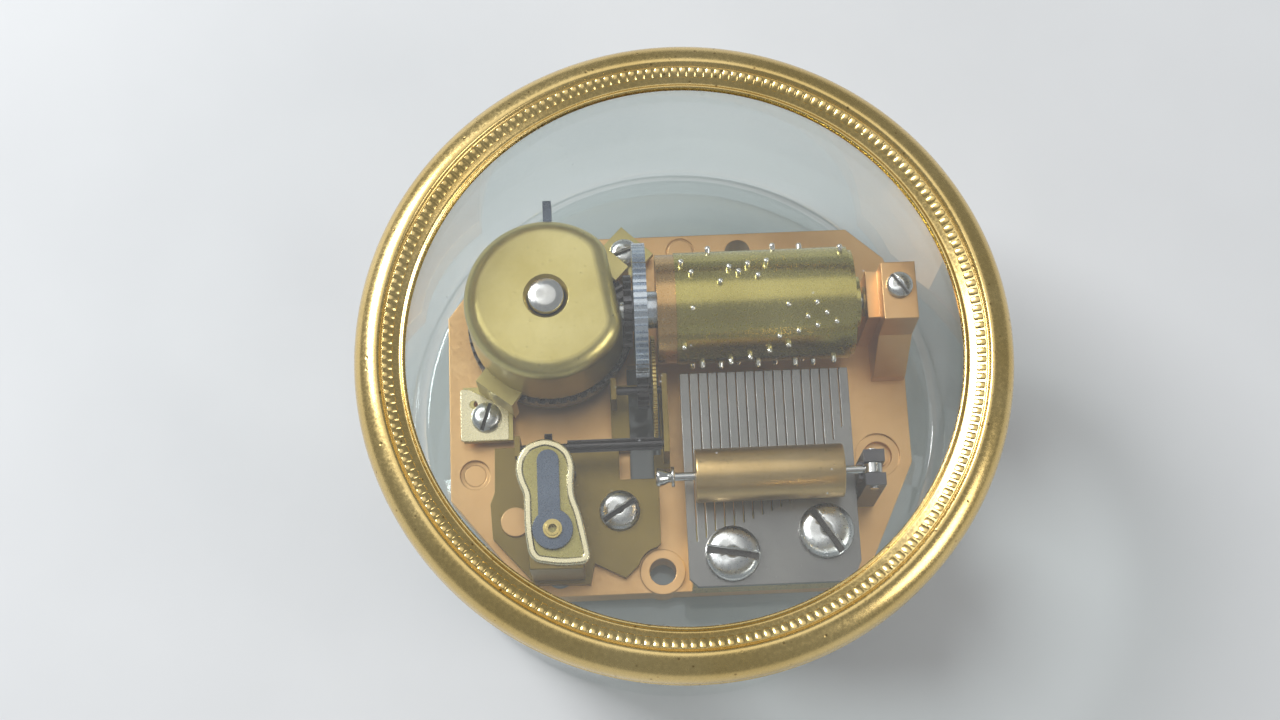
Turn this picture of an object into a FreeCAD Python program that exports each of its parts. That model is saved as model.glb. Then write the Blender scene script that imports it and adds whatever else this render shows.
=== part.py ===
import FreeCAD, Part
import math
import os
import re
import Sketcher

# Wind up music box: an eighteen tooth comb movement in a round clear case with a gilt bezel.
# +Z is up. The origin is on the table, under the centre of the case. The comb's teeth run along Y
# and the pinned cylinder lies along X. All sizes are millimetres.

Vector = FreeCAD.Vector
doc = FreeCAD.newDocument("wind_up_music_box")

# ---------------------------------------------------------------- driving sizes
SIZES = {
    # round case
    "cup_radius": 31.2, "cup_wall": 2.0, "foot_wall": 2.4, "recess_depth": 4.6, "floor_thick": 1.8,
    "cup_height": 30.8, "lens_inset": 0.5, "lens_thick": 1.6, "case_gap": 0.1,
    "bezel_width": 5.25, "bezel_cover": 3.45, "bezel_skirt": 3.0, "bezel_rise": 1.45,
    "bezel_lip_rise": 0.6, "arbor_hole_radius": 3.0,
    # bedplate
    "plate_left": -25.5, "plate_margin": 0.2, "plate_front": -21.0, "plate_back": 19.6,
    "plate_depth": 4.0, "plate_wall": 1.8,
    "left_mount_x": -22.8, "left_mount_y": -7.2, "right_mount_inset": 3.7, "right_mount_y": -6.8,
    "case_screw_radius": 1.2, "case_screw_head": 2.2, "spare_hole_x": -2.7, "spare_hole_y": -18.8,
    "spare_hole_radius": 1.45, "back_hole_x": 7.4, "back_hole_inset": 2.2, "gauge_ring_x": 0.9,
    "gauge_ring_radius": 1.6, "gauge_ring_inset": 1.9, "peg_x": -18.4, "peg_behind": 4.8,
    "peg_radius": 1.6,
    # spring motor
    "barrel_x": -13.9, "barrel_y": 8.3, "arbor_radius": 1.5, "arbor_head_radius": 1.9,
    "housing_radius": 8.7, "housing_wall": 0.6, "housing_flat": 7.3, "housing_tilt": 10.0,
    "housing_top": 25.4, "housing_gap": 0.35, "ear_width": 4.8,
    "tab_hole_x": -8.3, "tab_hole_y": -8.0, "tab_hole_radius": 0.45,
    "ear_thick": 1.0, "ear_lift": 1.0, "wheel_lift": 2.6, "spring_thick": 0.25, "spring_inner": 2.15,
    "spring_outer": 6.2, "spring_tab": 11.3, "running_gap": 0.05,
    "key_hub_radius": 3.0, "key_lobe_radius": 4.2, "key_lobe_at": 6.6, "key_lift": 0.8,
    "key_gap": 0.5, "key_wing_thick": 1.5,
    "ear_screw_radius": 0.9, "ear_screw_head": 1.65,
    # pinned cylinder
    "axis_rise": 8.5, "sleeve_radius": 6.0, "sleeve_wall": 0.7, "sleeve_left": -0.3,
    "sleeve_margin": 0.3, "cap_length": 2.0, "shaft_radius": 1.0, "pivot_radius": 0.6,
    "bush_radius": 1.6, "pin_radius": 0.2, "pin_length": 0.85,
    "gear_left": -4.75, "gear_width": 1.4, "pinion_left": -5.8, "pinion_width": 0.85,
    # bearing block
    "block_gap": 3.2, "block_width": 3.6, "block_ahead": 3.7, "block_behind": 2.5,
    "block_over": 5.5, "block_foot": 3.0,
    # comb
    "comb_left": -0.1, "comb_pitch": 1.0, "comb_slot": 0.3, "comb_thick": 0.9, "comb_drop": 1.0,
    "comb_gap": 0.22, "comb_back": -21.7, "comb_root_long": 4.4, "comb_root_step": 0.37,
    "comb_screw_radius": 1.3, "comb_screw_head": 2.9, "comb_screw_one_x": 4.5,
    "comb_screw_one_y": -18.4, "comb_screw_two_inset": 3.5, "comb_screw_two_y": -16.4,
    # governor
    "frame_thick": 1.2, "first_bearing": 204.69, "second_bearing": 169.78, "worm_x": -14.4,
    "worm_gap": 0.05,
    "worm_radius": 0.72, "worm_wheel_radius": 1.48, "fan_radius": 2.7, "fan_height": 1.9,
    "lug_thick": 0.6, "lug_right": -1.5, "first_wheel_at": -3.05, "first_wheel_thick": 0.4,
    "cock_over": 2.54, "cock_thick": 1.0, "cock_lobe": 3.2, "strip_thick": 0.4, "strip_width": 2.3,
    "rivet_behind": 7.3, "cock_foot_behind": 10.5, "governor_screw_x": -7.1,
    "governor_screw_behind": 4.0,
    "governor_screw_radius": 1.1, "governor_screw_head": 2.2, "cock_screw_radius": 0.7,
    "cock_screw_head": 1.3, "under_screw_radius": 1.1, "under_screw_head": 2.0,
    # start and stop weight
    "weight_radius": 2.8, "weight_left": 0.9, "weight_inset": 1.6, "weight_y": -10.6,
    "weight_gap": 0.25, "rod_radius": 0.45, "tilt_pivot_gap": 1.5, "knob_radius": 1.0,
}

# tooth counts and modules of the three meshed pairs, and the worm pair
CROWN_TEETH, PINION_TEETH, CROWN_MODULE = 48, 20, 0.354
GEAR_TEETH, FIRST_TEETH, GEAR_MODULE = 56, 14, 0.25
WHEEL_TEETH, SECOND_TEETH, WHEEL_MODULE = 82, 8, 0.14
WORM_WHEEL_TEETH, WORM_STARTS = 16, 2
COMB_TEETH = 18


class Values:
    """Every size by its name, for the places that are worked out below."""


size = Values()
for alias, number in SIZES.items():
    setattr(size, alias, number)

# ---------------------------------------------------------------- places worked out from them
places = {
    "floor_low": size.recess_depth,
    "floor_top": size.recess_depth + size.floor_thick,
    "lens_top": size.cup_height + size.lens_thick,
    "lens_radius": size.cup_radius - size.lens_inset,
    "bezel_opening": size.cup_radius - size.bezel_cover,
    "comb_right": size.comb_left + COMB_TEETH * size.comb_pitch,
}
places["bezel_radius"] = places["bezel_opening"] + size.bezel_width
places["sleeve_right"] = places["comb_right"] + size.sleeve_margin
places["block_left"] = places["sleeve_right"] + size.block_gap
places["block_right"] = places["block_left"] + size.block_width
places["block_front"] = size.barrel_y - size.block_ahead
places["block_back"] = size.barrel_y + size.block_behind
places["plate_right"] = places["block_right"] + size.plate_margin
places["right_mount_x"] = places["plate_right"] - size.right_mount_inset
places["comb_screw_two_x"] = places["comb_right"] - size.comb_screw_two_inset
places["weight_right"] = places["comb_right"] - size.weight_inset
places["tilt_pivot_x"] = places["comb_right"] + size.tilt_pivot_gap
places["plate_top"] = places["floor_top"] + size.plate_depth
places["axis_z"] = places["plate_top"] + size.axis_rise
places["cup_inner"] = size.cup_radius - size.cup_wall
places["foot_inner"] = size.cup_radius - size.foot_wall
places["frame_top"] = places["plate_top"] + size.frame_thick
places["wheel_low"] = places["plate_top"] + size.wheel_lift
places["crown_pitch_z"] = places["axis_z"] - CROWN_MODULE * PINION_TEETH / 2
places["crown_tip_z"] = places["crown_pitch_z"] + 0.9 * CROWN_MODULE
places["crown_root_z"] = places["crown_pitch_z"] - 1.4 * CROWN_MODULE
places["crown_outer"] = size.gear_left - 0.15 - size.barrel_x
places["crown_inner"] = size.pinion_left - 0.1 - size.barrel_x
places["housing_low"] = places["crown_tip_z"] + size.housing_gap
places["comb_top"] = places["axis_z"] - size.comb_drop
places["comb_low"] = places["comb_top"] - size.comb_thick
places["comb_tip_y"] = size.barrel_y - math.sqrt(
    (size.sleeve_radius + size.pin_length + size.comb_gap) ** 2 - size.comb_drop ** 2)
places["block_top"] = places["axis_z"] + size.block_over
places["ear_low"] = places["plate_top"] + size.ear_lift
places["ear_top"] = places["ear_low"] + size.ear_thick
places["weight_z"] = places["comb_top"] + size.weight_gap + size.weight_radius

# the train: each arbor stands one centre distance from the one before it, in a given direction
gear_distance = GEAR_MODULE * (GEAR_TEETH + FIRST_TEETH) / 2
first_turn = math.radians(size.first_bearing)
places["first_y"] = size.barrel_y + gear_distance * math.cos(first_turn)
places["first_z"] = places["axis_z"] + gear_distance * math.sin(first_turn)
wheel_distance = WHEEL_MODULE * (WHEEL_TEETH + SECOND_TEETH) / 2
second_turn = math.radians(size.second_bearing)
places["second_y"] = places["first_y"] + wheel_distance * math.cos(second_turn)
places["second_z"] = places["first_z"] + wheel_distance * math.sin(second_turn)
places["worm_y"] = (places["second_y"] - size.worm_wheel_radius - size.worm_radius
                    - size.worm_gap)
places["cock_low"] = places["second_z"] + size.cock_over
places["cock_top"] = places["cock_low"] + size.cock_thick
places["rivet_y"] = places["worm_y"] - size.rivet_behind
places["cock_foot_y"] = places["worm_y"] - size.cock_foot_behind
places["governor_screw_y"] = places["worm_y"] - size.governor_screw_behind
places["peg_y"] = places["worm_y"] - size.peg_behind
for alias, number in places.items():
    setattr(size, alias, number)

# the two ears of the spring housing: the direction and distance of each screw from the barrel's axis,
# then the way each flat tab points and its near, far, right and left edges, seen from the axis
EARS_AT = ((232.5, 12.1), (46.0, 12.1))
TABS = ((270.0, 6.1, 12.2, -9.9, -4.5), (46.0, size.crown_outer + 0.4, 14.3, -2.4, 2.4))
EARS = [(size.barrel_x + reach * math.cos(math.radians(angle)),
         size.barrel_y + reach * math.sin(math.radians(angle))) for angle, reach in EARS_AT]

# the screws that come up through the bedplate: comb base, comb base, bearing block, weight post
UNDER_SCREWS = [
    (size.comb_screw_one_x + 4.4, size.comb_screw_one_y + 1.6),
    (size.comb_screw_two_x - 2.9, size.comb_screw_two_y + 1.2),
    (size.block_left + 1.25, size.block_front + 1.9),
    (size.tilt_pivot_x - 0.2, size.weight_y - 0.6)]

# the pins of the tune: for each comb tooth, the angles of its pins round the cylinder
TUNE = {
    1: (57, 147, 236, 318), 2: (71, 107, 205, 290), 3: (184, 258, 341), 4: (28, 222, 305),
    5: (82, 196, 270, 350), 6: (66, 175, 240, 330), 7: (72, 215, 284), 8: (63, 166, 252, 312),
    9: (77, 188, 226, 296), 10: (60, 156, 264, 336), 11: (138, 210, 278, 20), 12: (107, 149, 232, 302),
    13: (133, 192, 248, 322), 14: (119, 218, 288, 8), 15: (106, 128, 202, 268), 16: (116, 236, 308),
    17: (125, 180, 254, 344), 18: (40, 224, 298),
}

sheet = doc.addObject("Spreadsheet::Sheet", "Sizes")
for row, (alias, number) in enumerate(list(SIZES.items()) + list(places.items()), start=1):
    sheet.set(f"A{row}", alias)
    sheet.set(f"B{row}", repr(float(number)))
    sheet.setAlias(f"B{row}", alias)
doc.recompute()

# ---------------------------------------------------------------- helpers
AXES = {
    "Z": FreeCAD.Rotation(),
    "X": FreeCAD.Rotation(Vector(1, 1, 1), 120),
    "Y": FreeCAD.Rotation(Vector(1, 1, 1), 240),
}
nodes = {}


def formula(words):
    """Turn size names into references to the sheet's cells."""
    return re.sub(r"[a-z][a-z_]*", lambda match: "Sizes." + match.group(0), str(words))


def bind(item, **values):
    for name, words in values.items():
        item.setExpression(name, formula(words))
    return item


def place(item, at, turn=None):
    """Set an object's place from three size formulas, and its turn."""
    item.Placement = FreeCAD.Placement(Vector(), turn or FreeCAD.Rotation())
    for letter, words in zip("xyz", at):
        item.setExpression("Placement.Base." + letter, formula(words))
    return item


def cylinder(radius, height, at=(0, 0, 0), axis="Z"):
    item = bind(doc.addObject("Part::Cylinder", "cylinder"), Radius=radius, Height=height)
    return place(item, at, AXES[axis])


def cone(low_radius, high_radius, height, at=(0, 0, 0), axis="Z"):
    item = bind(doc.addObject("Part::Cone", "cone"),
                Radius1=low_radius, Radius2=high_radius, Height=height)
    return place(item, at, AXES[axis])


def box(low, high, turn=None):
    """A block between two corners, each three size formulas."""
    item = doc.addObject("Part::Box", "block")
    for name, start, end in zip(("Length", "Width", "Height"), low, high):
        item.setExpression(name, formula(f"({end}) - ({start})"))
    return place(item, low, turn)


def fuse(*items):
    if len(items) == 1:
        return items[0]
    item = doc.addObject("Part::MultiFuse", "joined")
    item.Shapes = list(items)
    item.Refine = True
    return item


def cut(base, *tools):
    item = doc.addObject("Part::Cut", "cut")
    item.Base = base
    item.Tool = fuse(*tools)
    item.Refine = True
    return item


def group(items):
    """Several separate solids that share one node."""
    item = doc.addObject("Part::Compound", "group")
    item.Links = list(items)
    return item


def feature(shape):
    item = doc.addObject("Part::Feature", "shape")
    item.Shape = shape
    return item


def node(label, item):
    item.Label = label
    nodes[label] = item
    return item


def origin_plane(body, role):
    for item in body.Origin.OriginFeatures:
        if item.Role == role:
            return item
    raise ValueError(role)


def sketch_polygon(body, name, role, points, lift="0"):
    """A closed outline whose corners are bound to size formulas."""
    sketch = body.newObject("Sketcher::SketchObject", name)
    sketch.AttachmentSupport = [(origin_plane(body, role), "")]
    sketch.MapMode = "FlatFace"
    sketch.setExpression("AttachmentOffset.Base.z", formula(lift))
    count = len(points)
    for step in range(count):
        angle = 2 * math.pi * step / count
        following = 2 * math.pi * (step + 1) / count
        start = Vector(30 * math.cos(angle), 30 * math.sin(angle), 0)
        end = Vector(30 * math.cos(following), 30 * math.sin(following), 0)
        sketch.addGeometry(Part.LineSegment(start, end), False)
    for step in range(count):
        sketch.addConstraint(Sketcher.Constraint("Coincident", step, 2, (step + 1) % count, 1))
    for step, (across, up) in enumerate(points):
        for kind, words in (("DistanceX", across), ("DistanceY", up)):
            index = sketch.addConstraint(Sketcher.Constraint(kind, -1, 1, step, 1, 1.0))
            sketch.setExpression(f"Constraints[{index}]", formula(words))
    return sketch


def pad(points, lift, height):
    """A PartDesign body: an outline in the XY plane, raised by height from lift."""
    body = doc.addObject("PartDesign::Body", "body")
    sketch = sketch_polygon(body, "outline", "XY_Plane", points, lift)
    raised = body.newObject("PartDesign::Pad", "pad")
    raised.Profile = sketch
    raised.setExpression("Length", formula(height))
    doc.recompute()
    return body


def turned(points):
    """A PartDesign body turned about Z from an outline of radii and heights."""
    body = doc.addObject("PartDesign::Body", "body")
    sketch = sketch_polygon(body, "profile", "XZ_Plane", points)
    spun = body.newObject("PartDesign::Revolution", "revolution")
    spun.Profile = sketch
    spun.ReferenceAxis = (sketch, ["V_Axis"])
    spun.Angle = 360
    doc.recompute()
    return body


def slotted_screw(shank, head, length, head_height, at, slot_angle=0.0, down=False):
    """A slotted screw whose head sits at a place; its shank goes down, or up when down is True."""
    raised = cone(f"{head}", f"{head} * 0.86", head_height)
    body = fuse(cylinder(shank, length, (0, 0, f"-({length})")), raised)
    slot = box((f"-({head}) - 1", f"-({head}) * 0.12", f"({head_height}) * 0.45"),
               (f"({head}) + 1", f"({head}) * 0.12", f"({head_height}) + 1"))
    screw = cut(body, slot)
    turn = FreeCAD.Rotation(Vector(0, 0, 1), slot_angle)
    if down:
        turn = FreeCAD.Rotation(Vector(1, 0, 0), 180).multiply(turn)
    return place(screw, at, turn)


def toothed_outline(teeth, module, phase, addendum=0.9, dedendum=1.3, tip=0.11, root=0.25):
    """The rim of a gear with straight sided teeth, one of them centred on phase."""
    pitch = 2 * math.pi / teeth
    outer = module * (teeth / 2 + addendum)
    inner = module * (teeth / 2 - dedendum)
    points = []
    for step in range(teeth):
        middle = phase + step * pitch
        for share, radius in ((-root, inner), (-tip, outer), (tip, outer), (root, inner)):
            angle = middle + share * pitch
            points.append(Vector(radius * math.cos(angle), radius * math.sin(angle), 0))
    return Part.Face(Part.makePolygon(points + points[:1]))


def gear_shape(face, thickness, bore):
    solid = face.extrude(Vector(0, 0, thickness))
    return solid.cut(Part.makeCylinder(bore, thickness + 2, Vector(0, 0, -1)))


# ---------------------------------------------------------------- round case
def make_case():
    cup = turned([
        ("foot_inner", "0"), ("cup_radius", "0"), ("cup_radius", "cup_height"),
        ("cup_inner", "cup_height"), ("cup_inner", "floor_top"), ("0", "floor_top"),
        ("0", "floor_low"), ("foot_inner", "floor_low")])
    holes = [cylinder("arbor_hole_radius", "floor_thick + 2", ("barrel_x", "barrel_y", "floor_low - 1"))]
    for side in ("left", "right"):
        at = (f"{side}_mount_x", f"{side}_mount_y", "floor_low - 1")
        holes.append(cylinder("case_screw_radius", "floor_thick + 2", at))
    node("case_cup", cut(cup, *holes))

    node("crystal_lens", cylinder("lens_radius", "lens_thick", (0, 0, "cup_height")))

    fit = "cup_radius + case_gap"
    crown = "lens_top + bezel_rise"
    node("bezel_ring", turned([
        (fit, "lens_top - bezel_skirt"), ("bezel_radius - 0.3", "lens_top - bezel_skirt"),
        ("bezel_radius", "lens_top - bezel_skirt + 0.5"), ("bezel_radius", "lens_top - 0.5"),
        ("bezel_radius - 0.3", "lens_top + bezel_rise * 0.25"),
        ("bezel_radius - 0.9", f"{crown} - 0.5"), ("bezel_radius - 1.6", f"{crown} - 0.12"),
        ("bezel_radius - 2.3", crown), ("bezel_radius - 2.75", f"{crown} - 0.06"),
        ("bezel_radius - 2.9", f"{crown} - 0.35"), ("bezel_radius - 3.05", f"{crown} - 0.15"),
        ("bezel_opening + 0.5", "lens_top + bezel_lip_rise"),
        ("bezel_opening + 0.25", "lens_top + bezel_lip_rise + 0.12"),
        ("bezel_opening", "lens_top + bezel_lip_rise"), ("bezel_opening", "lens_top"),
        (fit, "lens_top")]))

    node("case_screws", group([
        slotted_screw("case_screw_radius", "case_screw_head", "floor_thick + plate_depth - 0.5", 1.3,
                      (f"{side}_mount_x", f"{side}_mount_y", "floor_low"), angle, down=True)
        for side, angle in (("left", 35), ("right", 110))]))


# ---------------------------------------------------------------- bedplate
def make_bedplate():
    outline = [
        ("plate_left + 8.1", "plate_front + 0.9"), ("plate_left + 9.4", "plate_front"),
        ("plate_right - 6.6", "plate_front"), ("plate_right - 5.2", "plate_front + 2.3"),
        ("plate_right", "plate_front + 13.3"), ("plate_right", "plate_back - 7.4"),
        ("plate_right - 1.4", "plate_back - 3.6"), ("plate_right - 5.4", "plate_back"),
        ("plate_left + 6.6", "plate_back"), ("plate_left", "plate_back - 8.8"),
        ("plate_left", "plate_front + 11")]
    body = pad(outline, "floor_top", "plate_depth")
    raised = body.Tip
    under = next(f"Face{number}" for number, face in enumerate(body.Shape.Faces, start=1)
                 if face.CenterOfMass.z < size.floor_top + 0.001)
    shell = body.newObject("PartDesign::Thickness", "thickness")
    shell.Base = (raised, [under])
    shell.Reversed = True
    shell.setExpression("Value", formula("plate_wall"))
    body.Tip = shell
    doc.recompute()
    bosses = [
        cylinder("arbor_radius + 2.4", "plate_depth", ("barrel_x", "barrel_y", "floor_top")),
        cylinder("peg_radius", "frame_thick + 0.4", ("peg_x", "peg_y", "plate_top")),
        cylinder("spare_hole_radius + 1.0", "plate_depth + 0.4",
                 ("spare_hole_x", "spare_hole_y", "floor_top"))]
    for side in ("left", "right"):
        at = (f"{side}_mount_x", f"{side}_mount_y", "floor_top")
        bosses.append(cylinder("case_screw_radius + 1.5", "plate_depth", at))
    for x, y in EARS:
        at = (x, y, "plate_top - 1")
        bosses.append(cylinder("ear_width * 0.42", "ear_lift + 1", at))
    tall_hole = "plate_depth + 4"
    ring = ("gauge_ring_x", "plate_back - gauge_ring_inset", "plate_top - 0.15")
    holes = [
        cylinder("arbor_radius + running_gap", tall_hole, ("barrel_x", "barrel_y", "floor_top - 1")),
        cylinder("spare_hole_radius", tall_hole, ("spare_hole_x", "spare_hole_y", "floor_top - 1")),
        cylinder("spare_hole_radius", tall_hole,
                 ("back_hole_x", "plate_back - back_hole_inset", "floor_top - 1")),
        cut(cylinder("gauge_ring_radius", 1, ring), cylinder("gauge_ring_radius - 0.2", 1, ring)),
        cylinder("case_screw_radius", tall_hole, ("left_mount_x", "left_mount_y", "floor_top - 1")),
        cylinder("case_screw_radius", tall_hole, ("right_mount_x", "right_mount_y", "floor_top - 1")),
        cylinder("case_screw_radius + 0.45", 2, ("left_mount_x", "left_mount_y", "plate_top - 0.5")),
        cylinder("case_screw_radius + 1.25", 2, ("right_mount_x", "right_mount_y", "plate_top - 0.4")),
        cylinder("case_screw_radius + 0.4", 3, ("right_mount_x", "right_mount_y", "plate_top - 1.2")),
        box(("gear_left - 1", "second_y - 2.8", "floor_top - 1"),
            ("lug_right - lug_thick - 0.2", "first_y + 4.2", "plate_top + 1")),
        cylinder("governor_screw_radius", tall_hole,
                 ("governor_screw_x", "governor_screw_y", "floor_top - 1")),
        cylinder("cock_screw_head + 0.2", tall_hole, ("worm_x + 0.6", "cock_foot_y", "floor_top - 1"))]
    for x, y in EARS:
        holes.append(cylinder("ear_screw_radius", 6, (x, y, "plate_top - 2.5")))
    for x, y in UNDER_SCREWS:
        holes.append(cylinder("under_screw_radius", tall_hole, (x, y, "floor_top - 1")))
        holes.append(cylinder("under_screw_head + 0.1", "plate_depth - plate_wall + 1",
                              (x, y, "floor_top - 1")))
    node("bedplate", cut(fuse(body, *bosses), *holes))


# ---------------------------------------------------------------- spring motor
def flattened_drum(radius, flat, height, at_z, corner, crown):
    """A drum with one flat side, its flat's two corners and its top edge rounded."""
    drum = Part.makeCylinder(radius, height, Vector(0, 0, at_z))
    slab = Part.makeBox(radius, 4 * radius, height + 2, Vector(flat, -2 * radius, at_z - 1))
    slab.rotate(Vector(), Vector(0, 0, 1), size.housing_tilt)
    drum = drum.cut(slab)
    uprights = [edge for edge in drum.Edges
                if abs(edge.Vertexes[0].X - edge.Vertexes[-1].X) < 1e-6
                and abs(edge.Vertexes[0].Y - edge.Vertexes[-1].Y) < 1e-6
                and edge.Length < height + 0.01
                and math.hypot(edge.Vertexes[0].X, edge.Vertexes[0].Y) > radius - 0.01
                and abs(math.degrees(math.atan2(edge.Vertexes[0].Y, edge.Vertexes[0].X))) < 75]
    drum = drum.makeFillet(corner, uprights)
    rim = [edge for edge in drum.Edges
           if min(vertex.Z for vertex in edge.Vertexes) > at_z + height - 0.01]
    return drum.makeFillet(crown, rim)


def make_spring_motor():
    wall = size.housing_wall
    outer = flattened_drum(size.housing_radius, size.housing_flat,
                           size.housing_top - size.housing_low, size.housing_low, 3.5, 1.7)
    inner = flattened_drum(size.housing_radius - wall, size.housing_flat - wall,
                           size.housing_top - wall - size.housing_low + 1, size.housing_low - 1,
                           3.5 - wall, 1.7 - wall)
    shell = outer.cut(inner)
    dish = Part.makeCone(size.arbor_head_radius + 0.1, size.arbor_head_radius + 0.5, wall + 0.02,
                         Vector(0, 0, size.housing_top - wall - 0.01))
    slot = Part.makeBox(1.6, 4, 2.6, Vector(-0.5, size.housing_radius - 2, size.housing_top - 4.4))
    pivot = Part.makeCylinder(size.pivot_radius + size.running_gap, 4,
                              Vector(size.housing_flat - 2, 0, size.axis_z), Vector(1, 0, 0))
    leg = size.crown_outer + 0.4
    width = size.ear_width
    holes = [Part.makeCylinder(size.tab_hole_radius, 4,
                               Vector(size.tab_hole_x, size.tab_hole_y, size.ear_low - 1))]
    for (angle, reach), (turn, near, far, right, left) in zip(EARS_AT, TABS):
        shelf = Part.makeBox(leg + 0.8 - size.housing_radius + wall, width, 1.0,
                             Vector(size.housing_radius - wall, -width / 2, size.housing_low))
        drop = Part.makeBox(0.8, width, size.housing_low + 1.0 - size.ear_low,
                            Vector(leg, -width / 2, size.ear_low))
        tab = Part.makeBox(far - near, left - right, size.ear_thick, Vector(near, right, size.ear_low))
        hole = Part.makeCylinder(size.ear_screw_radius, 4, Vector(reach, 0, size.ear_low - 1))
        for shape, way in ((shelf, angle), (drop, angle), (tab, turn), (hole, angle)):
            shape.rotate(Vector(), Vector(0, 0, 1), way)
        shell = shell.fuse([shelf, drop, tab])
        holes.append(hole)
    shell = shell.cut(holes)
    shell = shell.cut([dish, slot, pivot]).removeSplitter()
    node("spring_housing", place(feature(shell), ("barrel_x", "barrel_y", 0)))

    node("housing_screws", group([
        slotted_screw("ear_screw_radius", "ear_screw_head", "ear_thick + ear_lift + 1.5", 1.1,
                      (x, y, "ear_top"), angle)
        for (x, y), angle in zip(EARS, (72, 20))]))

    head = fuse(
        cylinder("arbor_head_radius", "0.9", (0, 0, "housing_top - 0.7")),
        cone("arbor_head_radius", "arbor_head_radius * 0.3", 0.45, (0, 0, "housing_top + 0.2")))
    stem = cylinder("arbor_radius", "housing_top - floor_low + key_gap - 0.7",
                    (0, 0, "floor_low - key_gap"))
    tail = cylinder("arbor_radius - 0.3", "floor_low - key_gap - key_lift - 0.4",
                    (0, 0, "key_lift + 0.4"))
    node("winding_arbor", place(fuse(head, stem, tail), ("barrel_x", "barrel_y", 0)))

    hub = cylinder("key_hub_radius", "floor_low - key_gap - key_lift", (0, 0, "key_lift"))
    wings = []
    eyes = [cylinder("arbor_radius - 0.3", "floor_low", (0, 0, "key_lift + 0.4"))]
    for side in ("-", ""):
        at = (f"{side}key_lobe_at", 0, "key_lift + 0.7")
        wings.append(cylinder("key_lobe_radius", "key_wing_thick", at))
        eyes.append(cylinder("key_lobe_radius * 0.5", "key_wing_thick + 2",
                             (f"{side}key_lobe_at", 0, "key_lift")))
    bar = box(("-key_lobe_at", "-key_lobe_radius * 0.55", "key_lift + 0.7"),
              ("key_lobe_at", "key_lobe_radius * 0.55", "key_lift + 0.7 + key_wing_thick"))
    key = cut(fuse(hub, bar, *wings), *eyes)
    node("winding_key", place(key, ("barrel_x", "barrel_y", 0), FreeCAD.Rotation(Vector(0, 0, 1), 25)))

    half_root = 0.27 * CROWN_MODULE * math.pi
    half_tip = 0.13 * CROWN_MODULE * math.pi
    low, high = size.crown_root_z - 0.1, size.crown_tip_z
    section = Part.makePolygon([
        Vector(size.crown_inner, -half_root, low), Vector(size.crown_inner, half_root, low),
        Vector(size.crown_inner, half_tip, high), Vector(size.crown_inner, -half_tip, high),
        Vector(size.crown_inner, -half_root, low)])
    tooth = Part.Face(section).extrude(Vector(size.crown_outer - size.crown_inner - 0.02, 0, 0))
    teeth = []
    for step in range(CROWN_TEETH):
        copy = tooth.copy()
        copy.rotate(Vector(), Vector(0, 0, 1), 360 * (step + 0.5) / CROWN_TEETH)
        teeth.append(copy)
    disc = Part.makeCylinder(size.crown_outer, size.crown_root_z - size.wheel_low - 0.4,
                             Vector(0, 0, size.wheel_low + 0.4))
    hub_shape = Part.makeCylinder(size.arbor_radius + 1.7, 1.0, Vector(0, 0, size.wheel_low))
    bore = Part.makeCylinder(size.arbor_radius + size.running_gap, 20, Vector(0, 0, size.wheel_low - 5))
    wheel = disc.fuse([hub_shape] + teeth).cut(bore).removeSplitter()
    node("great_wheel", place(feature(wheel), ("barrel_x", "barrel_y", 0)))

    wire = 0.28
    coil_radius = size.arbor_radius + size.running_gap + wire
    turns, pitch = 3, 2.2 * wire
    low = size.wheel_low - turns * pitch - wire
    helix = Part.makeHelix(pitch, turns * pitch, coil_radius)
    helix.translate(Vector(0, 0, low))
    profile = Part.Wire(Part.makeCircle(wire, Vector(coil_radius, 0, low), Vector(0, 1, 0)))
    coil = Part.Wire(helix.Edges).makePipeShell([profile], True, True)
    node("clutch_spring", place(feature(coil), ("barrel_x", "barrel_y", 0)))

    node("mainspring", place(feature(spiral_strip()), ("barrel_x", "barrel_y", 0)))


def spiral_strip():
    """The mainspring: half turns whose radius grows, and a tab that hooks through the housing."""
    half = size.spring_thick / 2
    turns = 7
    grow = (size.spring_outer - size.spring_inner) / (2 * turns)
    edges = {1: [], -1: []}
    for step in range(2 * turns):
        radius = size.spring_inner + grow * (step + 0.5)
        way = 1 if step % 2 == 0 else -1
        centre = Vector(0, way * grow / 2, 0)
        for side in (1, -1):
            reach = radius + side * half
            arc = Part.Arc(centre + Vector(0, -way * reach, 0), centre + Vector(way * reach, 0, 0),
                           centre + Vector(0, way * reach, 0))
            edges[side].append(arc.toShape())
    starts, ends = [], []
    for side in (1, -1):
        starts.append(min((vertex.Point for vertex in edges[side][0].Vertexes),
                          key=lambda point: point.y))
        ends.append(max((vertex.Point for vertex in edges[side][-1].Vertexes),
                        key=lambda point: abs(point.y)))
    caps = [Part.LineSegment(*ends).toShape(), Part.LineSegment(*starts).toShape()]
    wire = Part.Wire(Part.__sortEdges__(edges[1] + edges[-1] + caps))
    low = size.housing_low + 0.3
    high = size.housing_top - size.housing_wall - 0.5
    strip = Part.Face(wire).extrude(Vector(0, 0, high - low))
    strip.translate(Vector(0, 0, low))
    tab_low = size.housing_top - 4.1
    tab_start = max(vertex.Y for vertex in strip.Vertexes) - size.spring_thick
    tab = Part.makeBox(0.9, size.spring_tab - tab_start, 2.0, Vector(-0.15, tab_start, tab_low))
    return strip.fuse(tab)


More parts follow.
